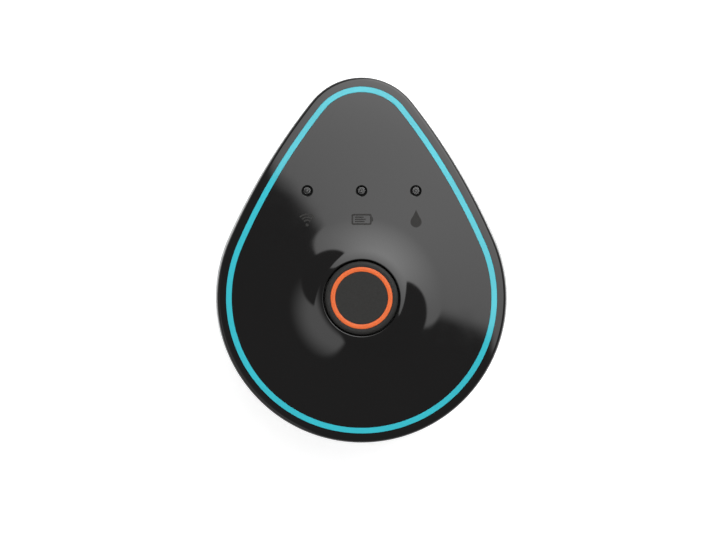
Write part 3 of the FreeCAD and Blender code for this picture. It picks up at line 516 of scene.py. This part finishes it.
def make_ring():
    bm = bmesh.new()
    inner, outer = RING_IN + RING_CLEAR, RING_OUT - RING_CLEAR
    top, low = CAP_HIGH.z - RING_SINK, CAP_HIGH.z - RING_GROOVE + RING_CLEAR
    profile = [(inner, low)] + arc_points(inner + RING_EDGE, top - RING_EDGE, RING_EDGE, 180, 90, 4)
    profile += arc_points(outer - RING_EDGE, top - RING_EDGE, RING_EDGE, 90, 0, 4)
    profile += [(outer, low), (inner, low)]
    spin_profile(bm, profile, BUTTON_STEPS, Vector((0, AXIS_Y, 0)))
    return bm


finish_piece(make_ring(), "bright_ring", "control_button", "ring_orange", ["button_ring"])

# %% [markdown]
# A status light ends in a clear plastic plug. Its top lies just under the face, follows the dome's
# slope and has a fine turned groove. The light pipe below runs down to the lamp on the board.

# %% Lenses of the status lights
LENS_GROOVE = 0.44 * MM
LENS_EDGE = 0.1 * MM


def make_lens(side):
    bm = bmesh.new()
    low, high = LENSES[side]
    place = lens_place(side)
    radius = LENS_RADIUS - 0.03 * MM
    top, bottom = high.z - place.z - 0.02 * MM, low.z - place.z
    profile = [(0, top), (LENS_GROOVE - 0.08 * MM, top - 0.003 * MM), (LENS_GROOVE, top - 0.1 * MM),
               (LENS_GROOVE + 0.08 * MM, top - 0.006 * MM), (radius - LENS_EDGE, top - 0.02 * MM),
               (radius, top - LENS_EDGE), (radius, -1.9 * MM), (radius, bottom), (0, bottom)]
    spin_profile(bm, profile, LENS_STEPS, place)
    for vert in bm.verts:
        if vert.co.z > place.z - 1.0 * MM:
            vert.co.z += dome(Vector((vert.co.x, vert.co.y - AXIS_Y))) - place.z
    return bm


for side in LENSES:
    finish_piece(make_lens(side), "status_lens_" + side, "housing", "window_clear", ["led_window_" + side])

# %% [markdown]
# Three signs are printed under the lights in matte grey ink: radio waves, a battery and a drop of
# water. Flat shapes are drawn at the origin first, from pieces of a ring and plain bars, which is
# all that such signs need.

# %% Flat shapes for the signs
STROKE = 0.45 * MM


def disc_sector(bm, inner, outer, start, end, steps, centre=(0, 0)):
    """A flat piece of a ring between two radii and two angles, in degrees."""
    turn = math.radians(start)
    away = Vector((math.cos(turn), math.sin(turn), 0))
    middle = Vector((*centre, 0))
    verts = [bm.verts.new(middle + away * inner), bm.verts.new(middle + away * outer)]
    edge = bm.edges.new(verts)
    bmesh.ops.spin(bm, geom=verts + [edge], cent=middle, axis=(0, 0, 1),
                   angle=math.radians(end - start), steps=steps)


def flat_bar(bm, width, height, centre=(0, 0)):
    """A flat rectangle."""
    place = Matrix.Translation((*centre, 0)) @ Matrix.Diagonal((width, height, 1, 1))
    bmesh.ops.create_grid(bm, x_segments=1, y_segments=1, size=0.5, matrix=place)


def draw_waves(bm):
    """A dot with three arcs of waves above it."""
    low = -1.75 * MM
    disc_sector(bm, 0, 0.42 * MM, 0, 360, 24, (0, low))
    for radius in (1.05 * MM, 1.85 * MM, 2.65 * MM):
        disc_sector(bm, radius, radius + STROKE, 48, 132, 24, (0, low))


print("sign strokes are", STROKE / MM, "mm wide")

# %% [markdown]
# The battery is a frame with round corners, a terminal at its right end and three short lines for
# its charge. The drop is most of a disc with a pointed cap whose sides are slightly hollow.

# %% The battery and the drop
def draw_battery(bm):
    half_w, half_h, corner, low = 2.75 * MM, 1.5 * MM, 0.5 * MM, -0.25 * MM
    quarter = {(1, 1): 0, (-1, 1): 90, (-1, -1): 180, (1, -1): 270}
    for sx in (-1, 1):
        flat_bar(bm, STROKE, 2 * (half_h - corner), (sx * (half_w - STROKE / 2), low))
        flat_bar(bm, 2 * (half_w - corner), STROKE, (0, low + sx * (half_h - STROKE / 2)))
        for sy in (-1, 1):
            start = quarter[sx, sy]
            disc_sector(bm, corner - STROKE, corner, start, start + 90, 6,
                        (sx * (half_w - corner), low + sy * (half_h - corner)))
    flat_bar(bm, 0.35 * MM, 1.1 * MM, (half_w + 0.2 * MM, low))
    line_start, line_step, line_width = -1.85 * MM, 0.6 * MM, 0.36 * MM
    for i, length in enumerate((2.4 * MM, 3.0 * MM, 2.7 * MM)):
        flat_bar(bm, length, line_width, (line_start + length / 2, low + (1 - i) * line_step))


def draw_drop(bm):
    radius, tip, low = 1.52 * MM, 2.45 * MM, -0.93 * MM
    hollow, steps = 1.2, 8
    lean = math.asin(radius / (tip - low))
    disc_sector(bm, 0, radius, 180 - math.degrees(lean), 360 + math.degrees(lean), 40, (0, low))
    wide, shoulder = radius * math.cos(lean), low + radius * math.sin(lean)
    shares = [i / steps for i in range(steps)]
    right = [(wide * (1 - share) ** hollow, shoulder + (tip - shoulder) * share) for share in shares]
    left = [(-x, y) for x, y in reversed(right)]
    bm.faces.new([bm.verts.new((x, y, 0)) for x, y in right + [(0, tip)] + left + [(0, low)]])


print("signs ready to print: waves, battery, drop")

# %% [markdown]
# Ink is thin, so each sign becomes a film of a few hundredths of a millimetre. Its points are lifted
# onto the face one by one, so the film follows the dome, and the face is not cut.

# %% Print the signs
SIGN_Y = AXIS_Y + 21.75 * MM
INK = 0.02 * MM


def print_sign(name, draw, x):
    """Lays a flat sign on the face as a thin film of ink."""
    bm = bmesh.new()
    draw(bm)
    bmesh.ops.remove_doubles(bm, verts=bm.verts, dist=1e-6)
    for vert in bm.verts:
        vert.co.x += x
        vert.co.y += SIGN_Y
        vert.co.z = face_height(Vector((vert.co.x, vert.co.y - AXIS_Y))) + INK
    bmesh.ops.recalc_face_normals(bm, faces=bm.faces)
    if sum(polygon.normal.z for polygon in bm.faces) < 0:
        bmesh.ops.reverse_faces(bm, faces=bm.faces)
    made = bmesh.ops.extrude_face_region(bm, geom=list(bm.faces))["geom"]
    bmesh.ops.translate(bm, verts=[item for item in made if isinstance(item, bmesh.types.BMVert)],
                        vec=(0, 0, -2 * INK))
    finish_piece(bm, name, "housing", "sign_ink")


for name, draw, side in (("radio_sign", draw_waves, "left"), ("battery_sign", draw_battery, "centre"),
                         ("water_sign", draw_drop, "right")):
    print_sign(name, draw, lens_place(side).x)

# %% [markdown]
# The rear housing, its drawer and the seals already have the right shape in the solids. Their
# meshes are loose triangles, so a copy is merged and shaded smooth by angle, with weighted normals
# that keep the flat faces flat beside their rounded edges. Faces that stand on the drop outline
# take the outline's own normal, and level faces point straight up or down, so no thin triangle
# leaves a streak. Each copy stands for its solid.

# %% Smooth copies of the solids that show
LEVEL = 0.9999
ON_OUTLINE = 0.998
COPY_CREASE = 28


def even_normals(piece):
    """Fixes the shading normals of a merged copy."""
    weigh = piece.modifiers.new("even_normals", "WEIGHTED_NORMAL")
    weigh.keep_sharp = True
    weigh.weight = 80
    bpy.context.view_layer.update()
    shown = piece.evaluated_get(bpy.context.evaluated_depsgraph_get()).data
    normals = [Vector(corner.vector) for corner in shown.corner_normals]
    piece.modifiers.clear()
    for polygon in piece.data.polygons:
        middle = polygon.center
        toward = Vector((*outline(math.atan2(middle.y - AXIS_Y, middle.x))[1], 0))
        level = abs(polygon.normal.z) > LEVEL
        if not level and polygon.normal.dot(toward) < ON_OUTLINE:
            continue
        for corner in polygon.loop_indices:
            spot = piece.data.vertices[piece.data.loops[corner].vertex_index].co
            wall = outline(math.atan2(spot.y - AXIS_Y, spot.x))[1]
            normals[corner] = polygon.normal.copy() if level else Vector((*wall, 0))
    piece.data.normals_split_custom_set(normals)


def smooth_copy(node, body, slot):
    bm = bmesh.new()
    bm.from_mesh(frame["nodes"][node].data)
    bmesh.ops.remove_doubles(bm, verts=bm.verts, dist=2e-6)
    bmesh.ops.dissolve_degenerate(bm, edges=bm.edges, dist=1e-6)
    even_normals(finish_piece(bm, node + "_smooth", body, slot, [node], COPY_CREASE))


for node, body, slot in (("rear_housing", "housing", "housing_grey"),
                         ("battery_drawer", "battery_drawer", "housing_grey"),
                         ("drawer_seal", "battery_drawer", "seal_rubber"),
                         ("housing_gasket", "housing", "seal_rubber"),
                         ("valve_socket_seal", "housing", "seal_rubber"),
                         ("battery_case", "battery_drawer", "battery_jacket")):
    smooth_copy(node, body, slot)

# %% [markdown]
# Every finish is a Principled shader with its real detail from noise read in Object coordinates:
# orange peel in the gloss, spark-eroded grain on the housing, flow marks in rubber. The helpers
# below build the common parts. A value that is the same all over is set on the socket itself.

# %% Helpers for finishes
FINISHES = {}


def new_finish(name, color, roughness, metallic=0.0):
    """A plain finish, kept under its name, and its shader."""
    material = bpy.data.materials.new(name)
    material.use_nodes = True
    shader = material.node_tree.nodes["Principled BSDF"]
    shader.inputs["Base Color"].default_value = (*color, 1)
    shader.inputs["Roughness"].default_value = roughness
    shader.inputs["Metallic"].default_value = metallic
    shader.inputs["IOR"].default_value = 1.5
    FINISHES[name] = material
    return material.node_tree, shader


def map_range(tree, value, before, after=(0, 1), smooth=False):
    """Maps a value from one range to another, and holds it at the ends."""
    node = tree.nodes.new("ShaderNodeMapRange")
    if smooth:
        node.interpolation_type = "SMOOTHSTEP"
    for name, number in zip(("From Min", "From Max", "To Min", "To Max"), (*before, *after)):
        node.inputs[name].default_value = number
    tree.links.new(value, node.inputs["Value"])
    return node.outputs["Result"]


def add_noise(tree, scale, detail=3.0):
    """A noise pattern in Object coordinates, its scale in patches per metre."""
    coords = tree.nodes.new("ShaderNodeTexCoord")
    noise = tree.nodes.new("ShaderNodeTexNoise")
    noise.inputs["Scale"].default_value = scale
    noise.inputs["Detail"].default_value = detail
    tree.links.new(coords.outputs["Object"], noise.inputs["Vector"])
    return noise.outputs["Fac"]


def spread_noise(tree, scale, low, high):
    """Noise spread over a range. It seldom leaves its own middle, so that part is taken."""
    return map_range(tree, add_noise(tree, scale), (0.3, 0.7), (low, high))


def vary_roughness(tree, shader, scale, low, high):
    tree.links.new(spread_noise(tree, scale, low, high), shader.inputs["Roughness"])


def vary_color(tree, shader, scale, dark, light):
    mix = tree.nodes.new("ShaderNodeMix")
    mix.data_type = "RGBA"
    mix.inputs["A"].default_value = (*dark, 1)
    mix.inputs["B"].default_value = (*light, 1)
    tree.links.new(spread_noise(tree, scale, 0, 1), mix.inputs["Factor"])
    tree.links.new(mix.outputs["Result"], shader.inputs["Base Color"])


def add_grain(tree, shader, scale, depth, strength=1.0):
    """Fine relief: depth is the height of the grain in metres."""
    bump = tree.nodes.new("ShaderNodeBump")
    bump.inputs["Strength"].default_value = strength
    bump.inputs["Distance"].default_value = depth
    tree.links.new(add_noise(tree, scale), bump.inputs["Height"])
    tree.links.new(bump.outputs["Normal"], shader.inputs["Normal"])


def tinted(color, factor):
    return tuple(channel * factor for channel in color)


print("noise of scale 1000 has patches of", 1 / 1000 / MM, "mm")

# %% [markdown]
# The face is high-gloss black plastic. Its own colour is nearly black, and all that the eye sees of
# it is what it mirrors. A real moulding never mirrors perfectly: it has a trace of orange peel and
# of wiping marks in its gloss, which a slow drift in roughness and colour stands for. The coloured
# line is polished with it and takes the same gloss.

# %% Finishes of the gloss
def gloss(name, color):
    made = new_finish(name, color, 0.035)
    vary_roughness(*made, 260, 0.035, 0.06)
    vary_color(*made, 90, tinted(color, 0.94), tinted(color, 1.06))


gloss("face_black", (0.0035, 0.0032, 0.0032))
gloss("line_cyan", (0.035, 0.455, 0.54))
print("gloss", sorted(FINISHES))

# %% [markdown]
# The button and its ring are matte, so a thumb does not slip and the ring glows evenly. Ink hardly
# shines at all: its specular level is turned down. The mouths of the bores get a near-black with the
# specular level turned down too, as painted shade for the shadow that falls into their bevels. The
# lenses let light through and are only slightly milky.

# %% Finishes of the button, the signs and the lights
ring = new_finish("ring_orange", (0.70, 0.115, 0.012), 0.42)
vary_roughness(*ring, 900, 0.36, 0.5)
vary_color(*ring, 500, (0.68, 0.108, 0.011), (0.72, 0.122, 0.013))
add_grain(*ring, 3500, 0.004 * MM)

button = new_finish("button_grey", (0.018, 0.0175, 0.0165), 0.6)
button[1].inputs["Specular IOR Level"].default_value = 0.25
vary_roughness(*button, 2500, 0.52, 0.68)
vary_color(*button, 1500, (0.0165, 0.016, 0.015), (0.0195, 0.019, 0.018))
add_grain(*button, 5200, 0.012 * MM)

ink = new_finish("sign_ink", (0.036, 0.035, 0.034), 0.9)
ink[1].inputs["Specular IOR Level"].default_value = 0.15
vary_color(*ink, 4000, (0.033, 0.032, 0.031), (0.040, 0.039, 0.038))

# Painted shade: a dull near-black for the bevels round the lights, standing in for the shadow in them.
mouth = new_finish("mouth_painted_shade", (0.004, 0.004, 0.004), 0.8)
mouth[1].inputs["Specular IOR Level"].default_value = 0.1
vary_roughness(*mouth, 2500, 0.7, 0.9)

clear = new_finish("window_clear", (0.20, 0.20, 0.20), 0.08)
clear[1].inputs["IOR"].default_value = 1.49
clear[1].inputs["Transmission Weight"].default_value = 0.9
vary_roughness(*clear, 1800, 0.06, 0.14)
print("front finishes", len(FINISHES))

# %% [markdown]
# Behind the gloss come workaday finishes: a grained grey housing, rubber, metals, and the green
# board with its parts. They show at the seam, at the back and when the drawer is pulled out. Metals
# differ only in colour and polish, and mouldings only in colour and grain, so each kind is a
# function.

# %% Finishes of the housing, the battery and the inside
grey = new_finish("housing_grey", (0.58, 0.59, 0.59), 0.5)
vary_roughness(*grey, 1500, 0.42, 0.56)
vary_color(*grey, 60, (0.56, 0.57, 0.57), (0.60, 0.61, 0.61))
add_grain(*grey, 3200, 0.02 * MM, 0.7)

rubber = new_finish("seal_rubber", (0.018, 0.018, 0.019), 0.62)
vary_roughness(*rubber, 1200, 0.5, 0.75)
vary_color(*rubber, 700, (0.015, 0.015, 0.016), (0.022, 0.022, 0.023))
add_grain(*rubber, 2600, 0.015 * MM)


def metal(name, color, low, high):
    made = new_finish(name, color, low, 1.0)
    vary_roughness(*made, 1800, low, high)
    vary_color(*made, 900, tinted(color, 0.93), color)
    add_grain(*made, 5000, 0.003 * MM)


def moulded(name, color, low, high, grain=0.008):
    made = new_finish(name, color, low)
    vary_roughness(*made, 1600, low, high)
    vary_color(*made, 800, tinted(color, 0.9), tinted(color, 1.08))
    add_grain(*made, 3600, grain * MM)


metal("screw_steel", (0.56, 0.56, 0.55), 0.25, 0.4)
metal("insert_brass", (0.80, 0.58, 0.26), 0.24, 0.4)
metal("contact_nickel", (0.66, 0.63, 0.58), 0.18, 0.3)
metal("metal_can", (0.70, 0.70, 0.69), 0.3, 0.42)
metal("battery_jacket", (0.10, 0.11, 0.13), 0.3, 0.42)
moulded("lead_cover", (0.03, 0.03, 0.032), 0.45, 0.6)
moulded("membrane", (0.78, 0.78, 0.76), 0.7, 0.85, 0.02)
moulded("board_green", (0.012, 0.10, 0.045), 0.3, 0.42)
moulded("led_package", (0.78, 0.74, 0.58), 0.35, 0.5)
moulded("chip_black", (0.022, 0.022, 0.023), 0.5, 0.62)
moulded("capacitor_can", (0.05, 0.055, 0.09), 0.35, 0.45)
moulded("carrier_black", (0.02, 0.02, 0.021), 0.45, 0.6, 0.012)
print("finishes", len(FINISHES))

# %% [markdown]
# A new piece takes the finish it was made with, and a solid that stays takes the one of its slot.
# The bevels round the lights are part of the face. Their dark look is painted shade: the faces that lie
# wholly inside a mouth get a second, dull material in place of the shadow that falls there.

# %% Give every piece and every remaining solid its finish
def in_mouth(polygon, side):
    """Whether all the points of a polygon of the face lie within the mouth of a light."""
    away = [face.data.vertices[i].co - lens_place(side) for i in polygon.vertices]
    return max(point.xy.length for point in away) < BEZEL_RADIUS + 0.03 * MM


for piece, slot in PIECES:
    piece.data.materials.clear()
    piece.data.materials.append(FINISHES[slot])
face.data.materials.append(FINISHES["mouth_painted_shade"])
# Painted shade: the faces in the bevels of the lights take the dull material.
painted_shade = [polygon for polygon in face.data.polygons if any(in_mouth(polygon, side) for side in LENSES)]
for polygon in painted_shade:
    polygon.material_index = 1
for part in frame["record"]["subparts"]:
    solid = frame["nodes"][part["node"]]
    for index in range(len(solid.data.materials)):
        solid.data.materials[index] = FINISHES[part["material_slot"]]
print("pieces", len(PIECES), "and dull faces", len(painted_shade))

# %% [markdown]
# The portrait was taken straight from above against pure white. A long lens far away keeps the
# sides out of sight. The middle of the picture isn't the middle of the object, so the camera stands
# a few millimetres to the side instead of using a shift. The picture's scale holds at the height of
# the seam, where the object is widest.

# %% Camera
PHOTO_WIDE, PHOTO_HIGH = 716, 540
OBJECT_X, OBJECT_Y = 361.55, 260.0
OBJECT_HIGH = 364.2
PIXEL = (FACE_HIGH.y - FACE_LOW.y) / OBJECT_HIGH
CAMERA_RISE = 2.6
camera_data = bpy.data.cameras.new("portrait_lens")
camera = bpy.data.objects.new("portrait_camera", camera_data)
bpy.context.scene.collection.objects.link(camera)
camera.location = ((PHOTO_WIDE / 2 - OBJECT_X) * PIXEL, (OBJECT_Y - PHOTO_HIGH / 2) * PIXEL,
                   LIP_Z + CAMERA_RISE)
camera_data.sensor_width = 36
camera_data.lens = camera_data.sensor_width * (camera.location.z - SKIRT_Z) / (PHOTO_WIDE * PIXEL)
camera_data.clip_end = 20
bpy.context.scene.camera = camera
bpy.context.scene.view_settings.view_transform = "Standard"
print("lens", round(camera_data.lens), "mm at", CAMERA_RISE, "m")

# %% [markdown]
# Light is built from a few kinds of node, so these have helpers too: a sum or product of two
# values, a white glow of a given strength, and a value that tells which rays are looking. A white
# ground has to be white for the eye and for what gloss and clear pieces show, but it may not shine
# on the object, and the kind of ray tells these apart.

# %% Helpers for light
def math_value(tree, operation, first, second):
    """Joins two values; the second is a socket or a plain number."""
    node = tree.nodes.new("ShaderNodeMath")
    node.operation = operation
    tree.links.new(first, node.inputs[0])
    if isinstance(second, bpy.types.NodeSocket):
        tree.links.new(second, node.inputs[1])
    else:
        node.inputs[1].default_value = second
    return node.outputs["Value"]


def white_glow(tree, strength):
    """White light whose strength is the value of a socket."""
    node = tree.nodes.new("ShaderNodeEmission")
    node.inputs["Color"].default_value = (1, 1, 1, 1)
    tree.links.new(strength, node.inputs["Strength"])
    return node.outputs["Emission"]


def seen_ray(tree):
    """One for rays of the eye, and for those that a gloss or a clear piece sends on."""
    path = tree.nodes.new("ShaderNodeLightPath")
    seen = math_value(tree, "MAXIMUM", path.outputs["Is Camera Ray"], path.outputs["Is Glossy Ray"])
    return math_value(tree, "MAXIMUM", seen, path.outputs["Is Transmission Ray"])


print("light helpers ready")

# %% [markdown]
# The floor is a sheet of pale paper just under the object. Paper alone would come out grey, so a
# glow that only the eye sees lifts it to white. The paper below the glow still takes light, so the
# object keeps a soft shadow.

# %% Floor
FLOOR_HALF = 2
FLOOR_LOW = -0.5 * MM
FLOOR_GLOW = 0.64

bm = bmesh.new()
bmesh.ops.create_grid(bm, x_segments=1, y_segments=1, size=FLOOR_HALF)
floor = make_object(bm, "floor")
floor.location.z = FLOOR_LOW

paper = bpy.data.materials.new("floor_paper")
paper.use_nodes = True
tree = paper.node_tree
paper_shader = tree.nodes["Principled BSDF"]
paper_shader.inputs["Base Color"].default_value = (0.8, 0.8, 0.8, 1)
paper_shader.inputs["Roughness"].default_value = 0.9
paper_shader.inputs["Specular IOR Level"].default_value = 0.0
both = tree.nodes.new("ShaderNodeAddShader")
tree.links.new(paper_shader.outputs["BSDF"], both.inputs[0])
tree.links.new(white_glow(tree, math_value(tree, "MULTIPLY", seen_ray(tree), FLOOR_GLOW)), both.inputs[1])
tree.links.new(both.outputs["Shader"], tree.nodes["Material Output"].inputs["Surface"])
floor.data.materials.append(paper)
print("floor", 2 * FLOOR_HALF, "m square")

# %% [markdown]
# The room above is dark, as a studio's ceiling is, and it brightens towards the white walls. What
# the eye sees directly is white everywhere. The gloss mirrors the room as it is, so the face stays
# black and only its rim picks up the walls.

# %% The room
ROOM_TOP = 0.24
ROOM_SIDE = 1.0
WALL_HEIGHTS = (0.05, 0.55)

world = bpy.data.worlds.new("studio_room")
bpy.context.scene.world = world
world.use_nodes = True
tree = world.node_tree
background = tree.nodes["Background"]
background.inputs["Color"].default_value = (1, 1, 1, 1)
coords = tree.nodes.new("ShaderNodeTexCoord")
split = tree.nodes.new("ShaderNodeSeparateXYZ")
tree.links.new(coords.outputs["Generated"], split.inputs["Vector"])
room_light = map_range(tree, split.outputs["Z"], WALL_HEIGHTS, (ROOM_SIDE, ROOM_TOP), smooth=True)
path = tree.nodes.new("ShaderNodeLightPath")
pick = tree.nodes.new("ShaderNodeMix")
pick.data_type = "FLOAT"
pick.inputs["B"].default_value = 1.0
tree.links.new(path.outputs["Is Camera Ray"], pick.inputs["Factor"])
tree.links.new(room_light, pick.inputs["A"])
tree.links.new(pick.outputs["Result"], background.inputs["Strength"])
print("room from", ROOM_TOP, "above to", ROOM_SIDE, "at the walls")

# %% [markdown]
# Two soft boxes light the object. The large one stands towards the tip, and its straight edges are
# what the face mirrors: the slanting border across the dome and the bent shapes on the collar. The
# small one, opposite, draws the single patch on the collar's lower left. Each is a flat panel whose
# glow is hot in the middle and weaker outside. It fades at every side over a width of its own,
# because the cloth of a soft box never ends in a knife edge, and because some borders in the
# picture are crisp and others melt away.

# %% Glow of a soft box
LIGHT_DISTANCE = 2.2


def border_fade(tree, coords, corners):
    """One inside a panel with straight sides, falling to zero at each side over its own width."""
    total = None
    for (x, y, fade), (next_x, next_y, _) in zip(corners, corners[1:] + corners[:1]):
        along = Vector((next_x - x, next_y - y)).normalized()
        inward = Vector((-along.y, along.x, 0))
        reach = tree.nodes.new("ShaderNodeVectorMath")
        reach.operation = "DOT_PRODUCT"
        reach.inputs[1].default_value = inward
        tree.links.new(coords, reach.inputs[0])
        start = inward.x * x + inward.y * y
        ramp = map_range(tree, reach.outputs["Value"], (start, start + fade), smooth=True)
        total = ramp if total is None else math_value(tree, "MULTIPLY", total, ramp)
    return total


def panel_glow(name, corners, hot, edge, spot):
    """Material of a panel: hot in the middle, and clear where its border has faded out."""
    material = bpy.data.materials.new(name)
    material.use_nodes = True
    tree = material.node_tree
    tree.nodes.remove(tree.nodes["Principled BSDF"])
    coords = tree.nodes.new("ShaderNodeTexCoord").outputs["Object"]
    length = tree.nodes.new("ShaderNodeVectorMath")
    length.operation = "LENGTH"
    tree.links.new(coords, length.inputs[0])
    fall = map_range(tree, length.outputs["Value"], (0, spot * LIGHT_DISTANCE), (hot, edge), smooth=True)
    clear_paper = tree.nodes.new("ShaderNodeBsdfTransparent")
    blend = tree.nodes.new("ShaderNodeMixShader")
    tree.links.new(border_fade(tree, coords, corners), blend.inputs["Fac"])
    tree.links.new(clear_paper.outputs["BSDF"], blend.inputs[1])
    tree.links.new(white_glow(tree, fall), blend.inputs[2])
    tree.links.new(blend.outputs["Shader"], tree.nodes["Material Output"].inputs["Surface"])
    return material


print("soft boxes stand", LIGHT_DISTANCE, "m away")

# %% [markdown]
# A panel is one flat polygon that is turned to face the object. Seen from the object it keeps its
# shape at any distance, so its corners are given as shares of the distance.

# %% Soft boxes
def soft_box(name, lean, toward, corners, hot, edge, spot):
    """A panel that faces the object.

    Lean is from straight up and toward is its side, in degrees. Each corner is x, y and the width
    of the fade on the side that starts there, as shares of the distance. Y points away from
    straight up. Hot and edge are the glow in the middle and at the distance spot from it.
    """
    tilt, side = math.radians(lean), math.radians(toward)
    away = Vector((math.sin(tilt) * math.cos(side), math.sin(tilt) * math.sin(side), math.cos(tilt)))
    down = Vector((math.cos(tilt) * math.cos(side), math.cos(tilt) * math.sin(side), -math.sin(tilt)))
    turn = Matrix((down.cross(away), down, away)).transposed()
    corners = [tuple(LIGHT_DISTANCE * value for value in corner) for corner in corners]
    bm = bmesh.new()
    bm.faces.new([bm.verts.new((x, y, 0)) for x, y, _ in corners])
    panel = make_object(bm, name)
    panel.location = Vector((0, AXIS_Y, CROWN_Z)) + away * LIGHT_DISTANCE
    panel.rotation_euler = turn.to_euler()
    panel.visible_camera = False
    panel.data.materials.append(panel_glow(name, corners, hot, edge, spot))
    print(name, "stands", lean, "degrees from straight up")


LARGE_CORNERS = [(-0.49, -0.838, 0.04), (0.42, -1.0, 0.04), (0.42, 0.85, 0.1), (-0.49, 0.85, 0.04)]
SMALL_CORNERS = [(-0.08, -0.70, 0.38), (0.39, -0.70, 0.04), (0.22, -0.05, 0.1), (-0.52, -0.05, 0.07)]
soft_box("large_soft_box", 45, 61.6, LARGE_CORNERS, hot=4.95, edge=2.0, spot=1.1)
soft_box("small_soft_box", 45, 217, SMALL_CORNERS, hot=1.7, edge=1.6, spot=1.0)
